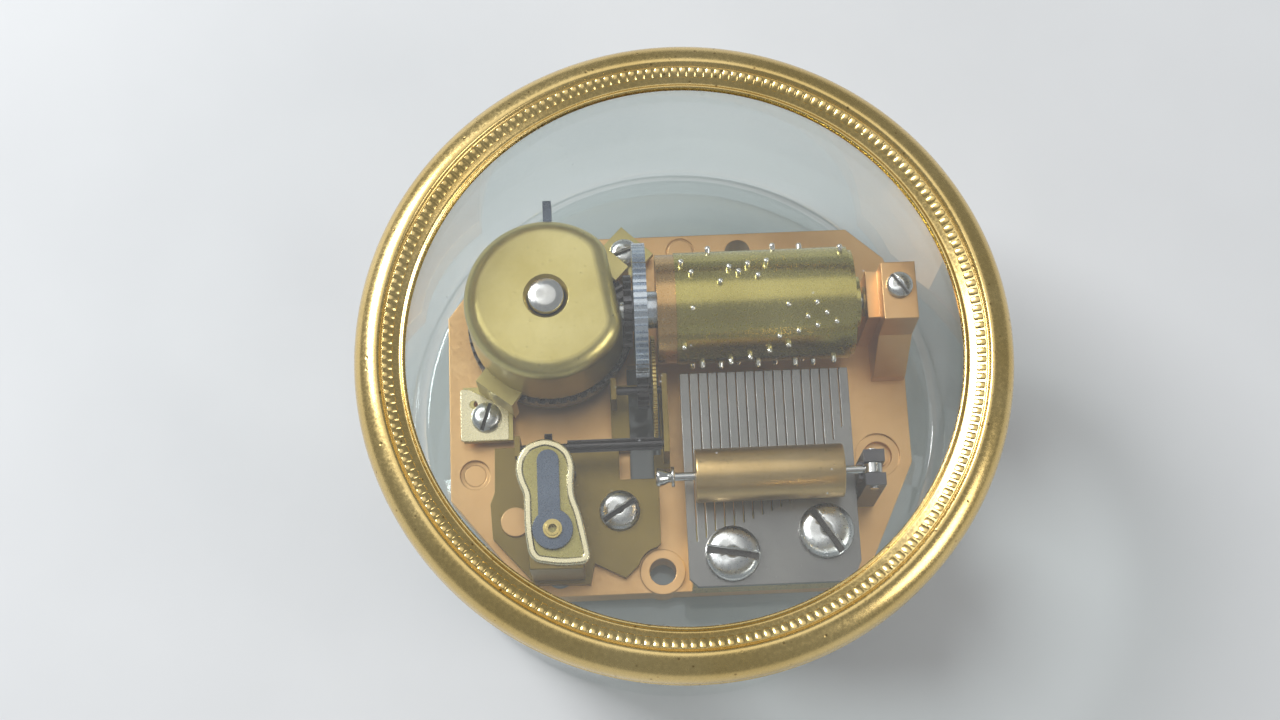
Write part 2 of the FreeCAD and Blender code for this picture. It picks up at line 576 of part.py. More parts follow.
# ---------------------------------------------------------------- pinned cylinder
def make_cylinder():
    at_axis = ("0", "barrel_y", "axis_z")

    def along(x):
        return (x,) + at_axis[1:]

    node("cylinder_sleeve", cut(
        cylinder("sleeve_radius", "sleeve_right - sleeve_left", along("sleeve_left"), "X"),
        cylinder("sleeve_radius - sleeve_wall", "sleeve_right - sleeve_left + 2",
                 along("sleeve_left - 1"), "X")))
    inner = "sleeve_radius - sleeve_wall"
    node("left_cap", cut(
        fuse(cylinder("sleeve_radius - 0.15", "cap_length", along("sleeve_left - cap_length"), "X"),
             cylinder(inner, 1, along("sleeve_left"), "X")),
        cylinder("shaft_radius", 9, along("sleeve_left - cap_length - 1"), "X")))
    node("right_cap", cut(
        fuse(cylinder(inner, 1, along("sleeve_right - 1"), "X"),
             cylinder("sleeve_radius - 0.4", 0.5, along("sleeve_right"), "X"),
             cylinder("sleeve_radius * 0.45", 1.3, along("sleeve_right"), "X")),
        cylinder("shaft_radius", 9, along("sleeve_right - 3"), "X")))

    shoulder = "barrel_x + housing_flat + 0.4"
    node("cylinder_shaft", fuse(
        cylinder("pivot_radius", 3, along("barrel_x + housing_flat - 0.7"), "X"),
        cylinder("shaft_radius", f"block_left - 1.6 - ({shoulder})", along(shoulder), "X"),
        cylinder("shaft_radius * 0.75", "4.5", along("block_left - 2"), "X")))

    down_to_first = math.atan2(size.first_z - size.axis_z, size.first_y - size.barrel_y)
    rim = gear_shape(toothed_outline(GEAR_TEETH, GEAR_MODULE, down_to_first),
                     size.gear_width, size.shaft_radius)
    gap = size.sleeve_left - size.cap_length - size.gear_left - size.gear_width
    spacer = gear_shape(Part.Face(Part.Wire(Part.makeCircle(size.shaft_radius * 2))),
                        gap, size.shaft_radius)
    spacer.translate(Vector(0, 0, size.gear_width))
    gear = feature(rim.fuse(spacer))
    node("cylinder_gear", place(gear, along("gear_left"), AXES["X"]))

    leaves = gear_shape(toothed_outline(PINION_TEETH, CROWN_MODULE, -math.pi / 2),
                        size.pinion_width, size.shaft_radius)
    collar = gear_shape(Part.Face(Part.Wire(Part.makeCircle(size.shaft_radius * 2.2))),
                        size.gear_left - size.pinion_left, size.shaft_radius)
    pinion = feature(leaves.fuse(collar))
    node("cylinder_pinion", place(pinion, along("pinion_left"), AXES["X"]))

    pins = []
    for tooth, angles in TUNE.items():
        for angle in angles:
            pins.append(music_pin(tooth, angle))
    node("cylinder_pins", place(feature(Part.makeCompound(pins)), ("0", "barrel_y", "axis_z")))


def music_pin(tooth, angle):
    """One pin of the tune, standing on the sleeve under a comb tooth."""
    turn = math.radians(angle)
    outward = Vector(0, math.cos(turn), math.sin(turn))
    sink = 0.25
    base = outward * (size.sleeve_radius - sink)
    base.x = size.comb_left + (tooth - 0.5) * size.comb_pitch
    return Part.makeCylinder(size.pin_radius, size.pin_length + sink, base, outward)


# ---------------------------------------------------------------- bearing block
def make_bearing_block():
    axis = ("block_left", "barrel_y", "axis_z")
    top = "block_top"
    body = doc.addObject("PartDesign::Body", "body")
    side = [("block_front - block_foot", "plate_top"), ("block_back", "plate_top"),
            ("block_back", top), ("block_front", top), ("block_front - 0.2", "axis_z"),
            ("block_front - block_foot", "plate_top + 1.6")]
    sketch = sketch_polygon(body, "side", "YZ_Plane", side, "block_left")
    raised = body.newObject("PartDesign::Pad", "pad")
    raised.Profile = sketch
    raised.setExpression("Length", formula("block_right - block_left"))
    doc.recompute()
    shoulder_top = "axis_z + bush_radius + 0.9"
    shoulder = box(("block_left - 1.3", "barrel_y - bush_radius - 1", "plate_top"),
                   ("block_left", "barrel_y + bush_radius + 1", shoulder_top))
    bore = cylinder("bush_radius", "block_right - block_left + 0.4",
                    ("block_left - 1.5",) + axis[1:], "X")
    at = ("(block_left + block_right) / 2", "barrel_y - 0.1")
    top_hole = cylinder("0.8", "block_over + 1", at + ("axis_z",))
    under = cylinder("under_screw_radius", "6", UNDER_SCREWS[2] + ("plate_top - 1",))
    node("bearing_block", cut(fuse(body, shoulder), bore, top_hole, under))
    node("shaft_bush", cut(
        cylinder("bush_radius", "block_right - block_left + 0.4", ("block_left - 1.5",) + axis[1:], "X"),
        cylinder("shaft_radius * 0.75 + running_gap", "4.5", ("block_left - 2",) + axis[1:], "X")))
    node("bush_screw", slotted_screw(
        "0.8", "1.4", "block_over - bush_radius - 0.05", 0.9, at + (top,), -52))


# ---------------------------------------------------------------- comb
def make_comb():
    back = "comb_back"
    outline = [
        ("comb_left", "comb_tip_y"), ("comb_left", f"{back} + 0.9"), ("comb_left + 0.9", back),
        ("comb_right - 1.6", back), ("comb_right", f"{back} + 2.1"), ("comb_right", "comb_tip_y")]
    body = pad(outline, "comb_low", "comb_thick")
    slots = []
    for number in range(1, COMB_TEETH):
        middle = f"comb_left + {number} * comb_pitch"
        rise = f"comb_back + comb_root_long + {number} * comb_root_step"
        if number > 11:
            rise += f" + {number - 11} * comb_root_step * 2.6"
        slots.append(box((f"{middle} - comb_slot / 2", rise, "comb_low - 1"),
                         (f"{middle} + comb_slot / 2", "comb_tip_y + 1", "comb_top + 1")))
    holes = [cylinder("comb_screw_radius", "comb_thick + 2",
                      (f"comb_screw_{which}_x", f"comb_screw_{which}_y", "comb_low - 1"))
             for which in ("one", "two")]
    node("comb", cut(body, *slots, *holes))

    ledge = [
        ("comb_left + 0.4", f"{back} + 0.5"), ("comb_right - 1.8", f"{back} + 0.5"),
        ("comb_right - 0.4", f"{back} + 2.4"), ("comb_right - 0.4", "comb_screw_two_y + 3.6"),
        ("comb_screw_two_x - 3", "comb_screw_two_y + 3.6"),
        ("comb_left + 0.4", "comb_screw_one_y + 3.3")]
    base = pad(ledge, "plate_top", "comb_low - plate_top")
    sockets = [cylinder("comb_screw_radius", "5.5",
                        (f"comb_screw_{which}_x", f"comb_screw_{which}_y", "comb_low - 5"))
               for which in ("one", "two")]
    for place_under in UNDER_SCREWS[:2]:
        sockets.append(cylinder("under_screw_radius", "5", place_under + ("plate_top - 1",)))
    node("comb_base", cut(base, *sockets))
    node("comb_screws", group([
        slotted_screw("comb_screw_radius", "comb_screw_head", "comb_thick + 4.5", 1.5,
                      (f"comb_screw_{which}_x", f"comb_screw_{which}_y", "comb_top"), angle)
        for which, angle in (("one", -10), ("two", -57))]))
    node("under_screws", group([
        slotted_screw("under_screw_radius", "under_screw_head", "plate_wall + 3.5", 1.2,
                      (x, y, "plate_top - plate_wall"), 20 + 35 * number, down=True)
        for number, (x, y) in enumerate(UNDER_SCREWS)]))


# ---------------------------------------------------------------- governor
def lug(thick_from, thick_to, low_y, high_y, top):
    """An ear bent up from the governor's frame to carry a pivot."""
    return box((thick_from, low_y, "plate_top + frame_thick / 2"), (thick_to, high_y, top))


def make_governor():
    right = "lug_right + 0.1"
    corner_y = "second_y - 1.8"
    outline = [
        ("worm_x - 6.1", "second_y + 1.25"), ("worm_x - 6.2", "worm_y - 1.4"),
        ("worm_x - 6.7", "worm_y - 2.7"), ("worm_x - 6.5", "worm_y - 6.5"),
        ("worm_x - 2.9", "worm_y - 10.6"), ("worm_x - 2.2", "worm_y - 11.6"),
        ("worm_x + 3.9", "worm_y - 11.8"), ("worm_x + 4.4", "worm_y - 9.6"),
        ("worm_x + 7.7", "worm_y - 11.3"), ("worm_x + 11.6", "worm_y - 7.7"),
        ("worm_x + 11.7", corner_y), (right, corner_y), (right, "first_y + 1.4"),
        ("first_wheel_at + first_wheel_thick + 0.3", "first_y + 1.4"),
        ("first_wheel_at + first_wheel_thick + 0.3", "second_y - 0.2"),
        ("gear_left - 0.9", "second_y - 0.2"), ("gear_left - 0.9", "first_y + 0.8"),
        ("first_wheel_at - 0.4", "first_y + 0.8"), ("first_wheel_at - 0.4", "first_y + 1.6"),
        ("gear_left - 2.9", "first_y + 1.6"), ("gear_left - 2.9", "second_y + 1.25")]
    plate = pad(outline, "plate_top", "frame_thick")
    lug_left = "gear_left - 2.2 - lug_thick"
    lugs = [
        lug(lug_left, "gear_left - 2.2", "first_y - 1.2", "first_y + 1.2", "first_z + 1.2"),
        lug("lug_right - lug_thick", "lug_right", "second_y - 1.2", "first_y + 1.2", "second_z + 1.2"),
        lug("worm_x - 3.6", "worm_x - 3.0", "second_y - 1.1", "second_y + 1.1", "second_z + 1.2")]
    window = box(("gear_left - 2.2", "second_y - 2.8", "plate_top - 1"),
                 ("gear_left + 1.6", "second_y + 0.4", "frame_top + 1"))
    pivot = "rod_radius + running_gap - 0.1"
    holes = [
        window,
        cylinder(pivot, "lug_thick + 0.4", (f"{lug_left} - 0.2", "first_y", "first_z"), "X"),
        cylinder(pivot, "lug_thick + 0.4", ("lug_right - lug_thick - 0.2", "first_y", "first_z"), "X"),
        cylinder(pivot, "lug_thick + 0.4", ("lug_right - lug_thick - 0.2", "second_y", "second_z"), "X"),
        cylinder(pivot, "lug_thick + 0.4", ("worm_x - 3.8", "second_y", "second_z"), "X"),
        cylinder("peg_radius", 4, ("peg_x", "peg_y", "plate_top - 1")),
        cylinder("governor_screw_radius", 4, ("governor_screw_x", "governor_screw_y", "plate_top - 1")),
        cylinder("0.35 + running_gap", 4, ("worm_x", "worm_y", "plate_top - 1")),
        cylinder("cock_screw_radius", 4, ("worm_x + 0.6", "cock_foot_y", "plate_top - 1")),
        cylinder("spare_hole_radius + 1.2", 4, ("spare_hole_x", "spare_hole_y", "plate_top - 1"))]
    node("governor_frame", cut(fuse(plate, *lugs), *holes))
    node("governor_screw", slotted_screw(
        "governor_screw_radius", "governor_screw_head", "frame_thick + plate_wall", 1.1,
        ("governor_screw_x", "governor_screw_y", "frame_top"), 30))

    foot_low = "cock_foot_y - 1.1"
    waist = [
        ("worm_x - 2.6", "worm_y - 1.5"), ("worm_x - 2.6", "worm_y - 4.2"),
        ("worm_x - 2.7", foot_low), ("worm_x + 3.8", f"{foot_low} - 0.2"),
        ("worm_x + 2.7", "worm_y - 4.2"), ("worm_x + 2.6", "worm_y - 1.5")]
    arm = pad(waist, "cock_low", "cock_thick")
    lobe = cylinder("cock_lobe", "cock_thick", ("worm_x", "worm_y", "cock_low"))
    foot = box(("worm_x - 2.2", foot_low, "frame_top"), ("worm_x + 3.2", f"{foot_low} + 2.2", "cock_low"))
    node("governor_cock", cut(
        fuse(arm, lobe, foot),
        cylinder("0.35 + running_gap", 4, ("worm_x", "worm_y", "cock_low - 1")),
        cylinder("rod_radius + 0.3", 4, ("worm_x + 0.3", "rivet_y", "cock_low - 1")),
        cylinder("cock_screw_radius", "5", ("worm_x + 0.6", "cock_foot_y", "frame_top - 0.5"))))
    node("cock_screw", slotted_screw("cock_screw_radius", "cock_screw_head", "frame_thick + 4", 0.8,
                                     ("worm_x + 0.6", "cock_foot_y", "plate_top"), 15, down=True))

    strip = box(("worm_x - strip_width / 2", "rivet_y", "cock_top"),
                ("worm_x + strip_width / 2", "worm_y", "cock_top + strip_thick"))
    ends = [cylinder("strip_width / 2", "strip_thick", ("worm_x", "worm_y", "cock_top")),
            cylinder("strip_width * 0.92", "strip_thick", ("worm_x + 0.3", "rivet_y", "cock_top"))]
    node("end_cap_spring", cut(fuse(strip, *ends), cylinder(
        "rod_radius + 0.3", 4, ("worm_x + 0.3", "rivet_y", "cock_top - 1"))))
    node("end_cap_rivet", cut(
        fuse(cylinder("rod_radius + 0.3", "cock_thick + strip_thick + 0.4",
                      ("worm_x + 0.3", "rivet_y", "cock_low")),
             cylinder("rod_radius + 0.55", 0.3, ("worm_x + 0.3", "rivet_y", "cock_top + strip_thick"))),
        cylinder("rod_radius", 4, ("worm_x + 0.3", "rivet_y", "cock_low + 0.6"))))


def make_train():
    pivot = "rod_radius - 0.1"
    first = ("first_y", "first_z")
    second = ("second_y", "second_z")
    left = "gear_left - 2.2"
    right = "lug_right - lug_thick"
    node("first_arbor", fuse(
        cylinder(pivot, f"({right}) - ({left}) + 2 * lug_thick", (f"{left} - lug_thick",) + first, "X"),
        cylinder("rod_radius", f"({right}) - ({left}) - 0.3", (f"{left} + 0.15",) + first, "X")))

    to_gear = math.atan2(size.axis_z - size.first_z, size.barrel_y - size.first_y)
    leaves = toothed_outline(FIRST_TEETH, GEAR_MODULE, to_gear + math.pi / FIRST_TEETH)
    pinion = feature(gear_shape(leaves, size.gear_width - 0.2, size.rod_radius))
    node("first_pinion", place(pinion, ("gear_left + 0.1",) + first, AXES["X"]))

    to_second = math.atan2(size.second_z - size.first_z, size.second_y - size.first_y)
    rim = toothed_outline(WHEEL_TEETH, WHEEL_MODULE, to_second)
    wheel = gear_shape(rim, size.first_wheel_thick, size.rod_radius)
    spoke_ring = WHEEL_MODULE * WHEEL_TEETH / 2
    for step in range(4):
        eye = Part.makeCylinder(spoke_ring * 0.23, 2, Vector(spoke_ring * 0.58, 0, -0.5))
        eye.rotate(Vector(), Vector(0, 0, 1), 45 + 90 * step)
        wheel = wheel.cut(eye)
    node("first_wheel", place(feature(wheel), ("first_wheel_at",) + first, AXES["X"]))

    facing = to_second + math.pi + math.pi / SECOND_TEETH
    wire_face = toothed_outline(SECOND_TEETH, WHEEL_MODULE, facing)
    wire = wire_face.extrude(Vector(0, 0, size.lug_right - size.lug_thick - size.worm_x - 2.2))
    left_end = size.worm_x - 3.6
    spindle = Part.makeCylinder(0.3, size.lug_right - left_end,
                                Vector(0, 0, left_end - size.worm_x - 2))
    slim = Part.makeCylinder(0.36, 5.0, Vector(0, 0, -4.8))
    arbor = feature(wire.fuse([spindle, slim]))
    node("second_arbor", place(arbor, ("worm_x + 2",) + second, AXES["X"]))

    module = size.worm_wheel_radius / (WORM_WHEEL_TEETH / 2 + 0.9)
    worm_wheel = gear_shape(toothed_outline(WORM_WHEEL_TEETH, module, math.pi), 0.8, 0.36)
    node("worm_wheel", place(feature(worm_wheel), ("worm_x - 0.4",) + second, AXES["X"]))

    length = size.cock_top - size.frame_top
    stem = Part.makeCylinder(0.35, length + size.frame_thick - 0.1,
                             Vector(0, 0, -size.frame_thick + 0.05))
    core = Part.makeCylinder(0.5, length - size.cock_thick - 0.3, Vector(0, 0, 0.15))
    lead = math.pi * module * WORM_STARTS
    thread_low = size.second_z - size.frame_top - 1.6
    worm = stem.fuse(core)
    for start in range(WORM_STARTS):
        helix = Part.makeHelix(lead, 3.2, 0.5)
        half = lead / WORM_STARTS * 0.2
        profile = Part.makePolygon([
            Vector(0.4, 0, -half), Vector(size.worm_radius, 0, -half * 0.4),
            Vector(size.worm_radius, 0, half * 0.4), Vector(0.4, 0, half), Vector(0.4, 0, -half)])
        thread = Part.Wire(helix.Edges).makePipeShell([profile], True, True)
        thread.rotate(Vector(), Vector(0, 0, 1), 360 * start / WORM_STARTS)
        thread.translate(Vector(0, 0, thread_low))
        worm = worm.fuse(thread)
    node("worm", place(feature(worm), ("worm_x", "worm_y", "frame_top")))

    hub = cylinder(0.9, "fan_height", ("worm_x", "worm_y", "frame_top + 0.4"))
    wing = box(("worm_x - fan_radius", "worm_y - 0.12", "frame_top + 0.4"),
               ("worm_x + fan_radius", "worm_y + 0.12", "frame_top + 0.4 + fan_height"))
    bore = cylinder(0.5, 9, ("worm_x", "worm_y", "frame_top - 1"))
    node("air_fan", cut(fuse(hub, wing), bore))


# ---------------------------------------------------------------- start and stop weight
def make_tilt_weight():
    axis = ("weight_y", "weight_z")
    node("tilt_weight", cut(
        cylinder("weight_radius", "weight_right - weight_left", ("weight_left",) + axis, "X"),
        cylinder("rod_radius", "weight_right - weight_left + 2", ("weight_left - 1",) + axis, "X")))
    eye = cylinder("rod_radius * 2.1", 1.0, ("tilt_pivot_x", "weight_y - 0.5", "weight_z"), "Y")
    rod = cylinder("rod_radius", "tilt_pivot_x - weight_left + 2.6", ("weight_left - 2.6",) + axis, "X")
    bore = cylinder("rod_radius + running_gap", 3, ("tilt_pivot_x", "weight_y - 1.5", "weight_z"), "Y")
    node("tilt_rod", cut(fuse(rod, eye), bore))
    node("tilt_knob", cut(
        fuse(cone("knob_radius", "knob_radius * 0.55", 1.7, ("weight_left - 4.1",) + axis, "X"),
             cylinder("knob_radius * 1.1", 0.25, ("weight_left - 2.4",) + axis, "X")),
        cylinder("rod_radius", 3, ("weight_left - 2.6",) + axis, "X")))

    low = "plate_top"
    top = "weight_z + rod_radius * 2.1"
    post = box(("tilt_pivot_x - 0.95", "weight_y - 1.9", low), ("tilt_pivot_x + 1.2", "weight_y + 1.9", top))
    rest = box(("tilt_pivot_x - 1.45", "weight_y - 0.9", "weight_z - 2.4"),
               ("tilt_pivot_x - 0.9", "weight_y + 0.9", "weight_z - rod_radius - 0.05"))
    fork = box(("tilt_pivot_x - 2.3", "weight_y - 0.6", "weight_z - 1.6"),
               ("tilt_pivot_x + 2.3", "weight_y + 0.6", "weight_z + 4"))
    pin_hole = cylinder("rod_radius", 6, ("tilt_pivot_x", "weight_y - 3", "weight_z"), "Y")
    under = cylinder("under_screw_radius", "5", UNDER_SCREWS[3] + ("plate_top - 1",))
    node("tilt_post", fuse(cut(post, fork, pin_hole, under), rest))
    node("tilt_pin", cylinder("rod_radius", 4.2, ("tilt_pivot_x", "weight_y - 2.1", "weight_z"), "Y"))


# ---------------------------------------------------------------- build, test and write
def main():
    make_case()
    make_bedplate()
    make_spring_motor()
    make_cylinder()
    make_bearing_block()
    make_comb()
    make_governor()
    make_train()
    make_tilt_weight()
    doc.recompute()
    for item in doc.Objects:
        if {"Invalid", "Error"} & set(item.State):
            raise RuntimeError(f"{item.Name} ({item.Label}) failed: {item.State}")
    os.makedirs("parts", exist_ok=True)
    for label, item in nodes.items():
        shape = item.Shape
        if shape.isNull() or not shape.isValid() or not shape.Solids:
            raise RuntimeError(f"{label} has no valid solid")
        shape.exportStep(f"parts/{label}.step")
        print(f"{label}: {len(shape.Solids)} solids, {shape.Volume:.2f} mm3")


main()
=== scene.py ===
# %% [markdown]
# # A wind up music box in a round clear case
# The box is a clear drum with a gilt ring round its lid. Inside it stands a small clockwork
# movement: a spring motor, a pinned cylinder, a steel comb, a geared air brake and a brass weight.
# The CAD model gives every solid and its place. Here the pieces that show get rounder edges,
# fine detail and real finishes. We load that model first, because everything is measured from it.

# %% Load the fixed frame
import math

import bmesh
import bpy
from mathutils import Matrix, Vector


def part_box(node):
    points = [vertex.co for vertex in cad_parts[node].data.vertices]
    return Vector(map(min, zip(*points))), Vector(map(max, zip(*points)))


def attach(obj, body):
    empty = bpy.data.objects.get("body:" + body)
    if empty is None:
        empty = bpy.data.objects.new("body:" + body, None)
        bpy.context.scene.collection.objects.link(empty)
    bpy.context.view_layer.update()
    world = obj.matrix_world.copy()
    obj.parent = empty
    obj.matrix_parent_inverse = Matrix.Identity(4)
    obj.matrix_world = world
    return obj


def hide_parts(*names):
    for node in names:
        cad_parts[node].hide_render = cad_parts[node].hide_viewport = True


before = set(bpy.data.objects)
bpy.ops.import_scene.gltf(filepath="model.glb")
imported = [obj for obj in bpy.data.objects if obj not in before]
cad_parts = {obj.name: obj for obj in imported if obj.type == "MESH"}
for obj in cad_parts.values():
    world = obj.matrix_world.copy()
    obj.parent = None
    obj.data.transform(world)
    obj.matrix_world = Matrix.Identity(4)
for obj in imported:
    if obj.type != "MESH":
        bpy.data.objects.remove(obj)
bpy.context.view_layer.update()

MM = 0.001

# %% [markdown]
# ## Measuring
# A part that is drawn by eye never fits. A clockmaker measures the arbor and then bores the hole,
# and we do the same: each place comes from the box of a CAD node. One node may hold several
# separate solids, such as two screws, so a second helper splits a node into its solids.


# %% Measuring helpers
def middle(node):
    """The centre of a CAD node, in millimetres."""
    low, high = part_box(node)
    return (low + high) / 2 / MM


def extent(node):
    """The lowest and highest corners of a CAD node, in millimetres."""
    low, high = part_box(node)
    return low / MM, high / MM


def separate_solids(node):
    """The lowest and highest corners of each solid in a CAD node, in millimetres."""
    work = bmesh.new()
    work.from_mesh(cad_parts[node].data)
    bmesh.ops.remove_doubles(work, verts=work.verts, dist=1e-7)
    left, found = set(work.verts), []
    while left:
        heap, seen = [left.pop()], []
        while heap:
            vertex = heap.pop()
            seen.append(vertex.co / MM)
            for edge in vertex.link_edges:
                other = edge.other_vert(vertex)
                if other in left:
                    left.remove(other)
                    heap.append(other)
        low = Vector([min(point[axis] for point in seen) for axis in range(3)])
        high = Vector([max(point[axis] for point in seen) for axis in range(3)])
        found.append((low, high))
    work.free()
    return sorted(found, key=lambda pair: tuple(pair[0]))


BARREL = middle("winding_arbor")
DRUM = middle("cylinder_sleeve")
print("spring barrel axis at", [round(value, 2) for value in BARREL[:2]])
print("cylinder axis at y, z", round(DRUM.y, 2), round(DRUM.z, 2))

# %% [markdown]
# ## Finishes
# Almost everything here is metal, and metals differ in three things: the tint of what they
# reflect, how blurred that reflection is, and the tiny marks of the tool that cut them. So one
# recipe serves for all of them. Its noise patterns read the object's own coordinates, in metres,
# so they stay fixed to the piece when it turns.


# %% A recipe for materials
class Recipe:
    """A material whose nodes are added one at a time."""

    def __init__(self, name, **shader):
        self.material = bpy.data.materials.new(name)
        self.material.use_nodes = True
        self.tree = self.material.node_tree
        self.shader = self.tree.nodes["Principled BSDF"]
        for socket, value in shader.items():
            self.shader.inputs[socket.replace("_", " ").title().replace("Ior", "IOR")].default_value = value
        self.place = self.add("ShaderNodeTexCoord").outputs["Object"]

    def add(self, kind, inputs=None, **settings):
        node = self.tree.nodes.new(kind)
        for setting, value in settings.items():
            setattr(node, setting, value)
        for socket, value in (inputs or {}).items():
            self.feed(node.inputs[socket], value)
        return node

    def feed(self, socket, value):
        if isinstance(value, bpy.types.NodeSocket):
            self.tree.links.new(value, socket)
        else:
            socket.default_value = value

    def noise(self, scale, detail=3.0, stretch=None, rough=0.55):
        """Noise with features of about 1/scale metres, drawn out where stretch is small."""
        where = self.place
        if stretch:
            where = self.add("ShaderNodeMapping", {"Vector": where, "Scale": stretch}).outputs[0]
        node = self.add("ShaderNodeTexNoise", {
            "Vector": where, "Scale": scale, "Detail": detail, "Roughness": rough})
        return node.outputs["Fac"]

    def spread(self, value, low, high, start=0.3, end=0.7):
        """Stretch a value between start and end to low and high."""
        return self.add("ShaderNodeMapRange", {
            "Value": value, "From Min": start, "From Max": end, "To Min": low, "To Max": high}).outputs[0]

    def blend(self, share, first, second):
        node = self.add("ShaderNodeMix", data_type="RGBA")
        self.feed(node.inputs[0], share)
        self.feed(node.inputs[6], first)
        self.feed(node.inputs[7], second)
        return node.outputs[2]

    def round_from(self, centre, across):
        """The distance from a line through centre (millimetres); across keeps two directions."""
        moved = self.add("ShaderNodeVectorMath", {0: self.place, 1: Vector(centre) * MM},
                         operation="SUBTRACT").outputs[0]
        flat = self.add("ShaderNodeVectorMath", {0: moved, 1: across}, operation="MULTIPLY").outputs[0]
        return self.add("ShaderNodeVectorMath", {0: flat}, operation="LENGTH").outputs["Value"]

    def rings(self, distance, per_metre):
        """Fine rings of uneven strength, as a turning tool leaves them."""
        line = self.add("ShaderNodeCombineXYZ", {"X": distance}).outputs[0]
        return self.add("ShaderNodeTexNoise", {
            "Vector": line, "Scale": per_metre, "Detail": 2.0}).outputs["Fac"]

    def relief(self, height, depth, normal=None):
        node = self.add("ShaderNodeBump", {"Height": height, "Distance": depth, "Strength": 1.0})
        if normal is not None:
            self.feed(node.inputs["Normal"], normal)
        return node.outputs[0]

    def worn_edge(self, radius):
        """A normal that rounds sharp edges over a few hundredths of a millimetre."""
        return self.add("ShaderNodeBevel", {"Radius": radius * MM}, samples=4).outputs[0]


def metal(name, bright, dull, roughness, grain=None, grain_scale=4000.0, depth=0.004,
          edge=0.07, specks=0.12, patches=140.0):
    """A plain metal finish: patches of tarnish, a fine grain and softened edges."""
    recipe = Recipe(name, metallic=1.0)
    tarnish = recipe.spread(recipe.noise(patches, 4.0), 0.0, 1.0)
    fine = recipe.noise(2600.0, 4.0)
    colour = recipe.blend(tarnish, (*bright, 1), (*dull, 1))
    shade = recipe.spread(fine, 1.0 - specks, 1.0)
    darker = recipe.add("ShaderNodeVectorMath", {0: colour}, operation="SCALE")
    recipe.feed(darker.inputs["Scale"], shade)
    recipe.feed(recipe.shader.inputs["Base Color"], darker.outputs[0])
    mark = recipe.noise(grain_scale, 3.0, grain)
    gloss = recipe.add("ShaderNodeMath", {0: mark, 1: fine}, operation="MULTIPLY").outputs[0]
    recipe.feed(recipe.shader.inputs["Roughness"],
                recipe.spread(gloss, roughness * 0.8, roughness * 1.25, 0.12, 0.4))
    normal = recipe.worn_edge(edge) if edge else None
    recipe.feed(recipe.shader.inputs["Normal"], recipe.relief(mark, depth * MM, normal))
    return recipe


# %% [markdown]
# ### The metals of the movement
# The bedplate and the bearing block are cast and lacquered a warm copper gold. The spring drum,
# the cylinder and the weight are yellow brass, each marked by its own tool: rings where it was
# turned, straight lines where it was drawn. The comb is ground steel, so its lines run with the
# teeth. The stretch values say which way the marks run: a small number draws the noise out.

# %% Make the metals
ALONG_Y = (1.0, 0.03, 1.0)
copper_gold = metal("copper_gold_lacquer", (0.86, 0.54, 0.25), (0.74, 0.43, 0.18), 0.36,
                    depth=0.002, edge=0.16, specks=0.05)
drawn_brass = metal("drawn_brass", (0.68, 0.53, 0.20), (0.55, 0.41, 0.13), 0.30, depth=0.002, specks=0.06)
frame_brass = metal("stamped_frame_brass", (0.31, 0.22, 0.065), (0.21, 0.15, 0.04), 0.34,
                    depth=0.002, specks=0.06)
pale_brass = metal("pale_brass", (0.92, 0.83, 0.56), (0.84, 0.74, 0.46), 0.26,
                   depth=0.001, edge=0.1, specks=0.04)
olive_brass = metal("olive_brass", (0.46, 0.40, 0.16), (0.34, 0.29, 0.10), 0.30, depth=0.001, specks=0.05)
comb_steel = metal("ground_comb_steel", (0.29, 0.28, 0.265), (0.22, 0.215, 0.21), 0.34,
                   ALONG_Y, 9000.0, 0.002, 0.05, specks=0.06)
gear_steel = metal("gear_steel", (0.76, 0.81, 0.87), (0.64, 0.69, 0.76), 0.24,
                   depth=0.0006, edge=0.0, specks=0.04)
dark_steel = metal("dark_steel", (0.17, 0.16, 0.16), (0.09, 0.09, 0.10), 0.33, depth=0.002, edge=0.04)
blued_steel = metal("blued_steel", (0.15, 0.18, 0.23), (0.09, 0.11, 0.15), 0.30, depth=0.0008, specks=0.06)
bright_steel = metal("bright_steel", (0.76, 0.75, 0.73), (0.62, 0.62, 0.62), 0.18, depth=0.001)
pin_steel = metal("pin_steel", (0.95, 0.93, 0.88), (0.88, 0.86, 0.80), 0.16, depth=0.0004, specks=0.03)
cap_brass = metal("coppery_end_cap", (0.74, 0.47, 0.20), (0.60, 0.36, 0.14), 0.24,
                  depth=0.0006, specks=0.05)
print("metals:", len([item for item in bpy.data.materials if item.use_nodes]))


# %% [markdown]
# ### Turned finishes
# A lathe leaves rings, and on a metal top those rings stretch each highlight into a bright cone.
# We copy both: a ring pattern in the relief, from the distance to the axis, and a reflection that
# is stretched across the rings. That stretch needs to know which way the tool ran, so the turned
# pieces carry a UV map whose first direction goes round the axis.

# %% Make the turned finishes
def turned(name, bright, dull, roughness, centre, across, rings=9000.0, depth=0.003, stretch=0.0,
           edge=0.07):
    recipe = metal(name, bright, dull, roughness, depth=0.0006, edge=edge, specks=0.07)
    distance = recipe.round_from(centre, across)
    marks = recipe.rings(distance, rings)
    under = recipe.shader.inputs["Normal"].links[0].from_socket
    recipe.feed(recipe.shader.inputs["Normal"], recipe.relief(marks, depth * MM, under))
    if stretch:
        recipe.shader.inputs["Anisotropic"].default_value = stretch
        tangent = recipe.add("ShaderNodeTangent", direction_type="UV_MAP", uv_map="UVMap")
        recipe.feed(recipe.shader.inputs["Tangent"], tangent.outputs[0])
    return recipe


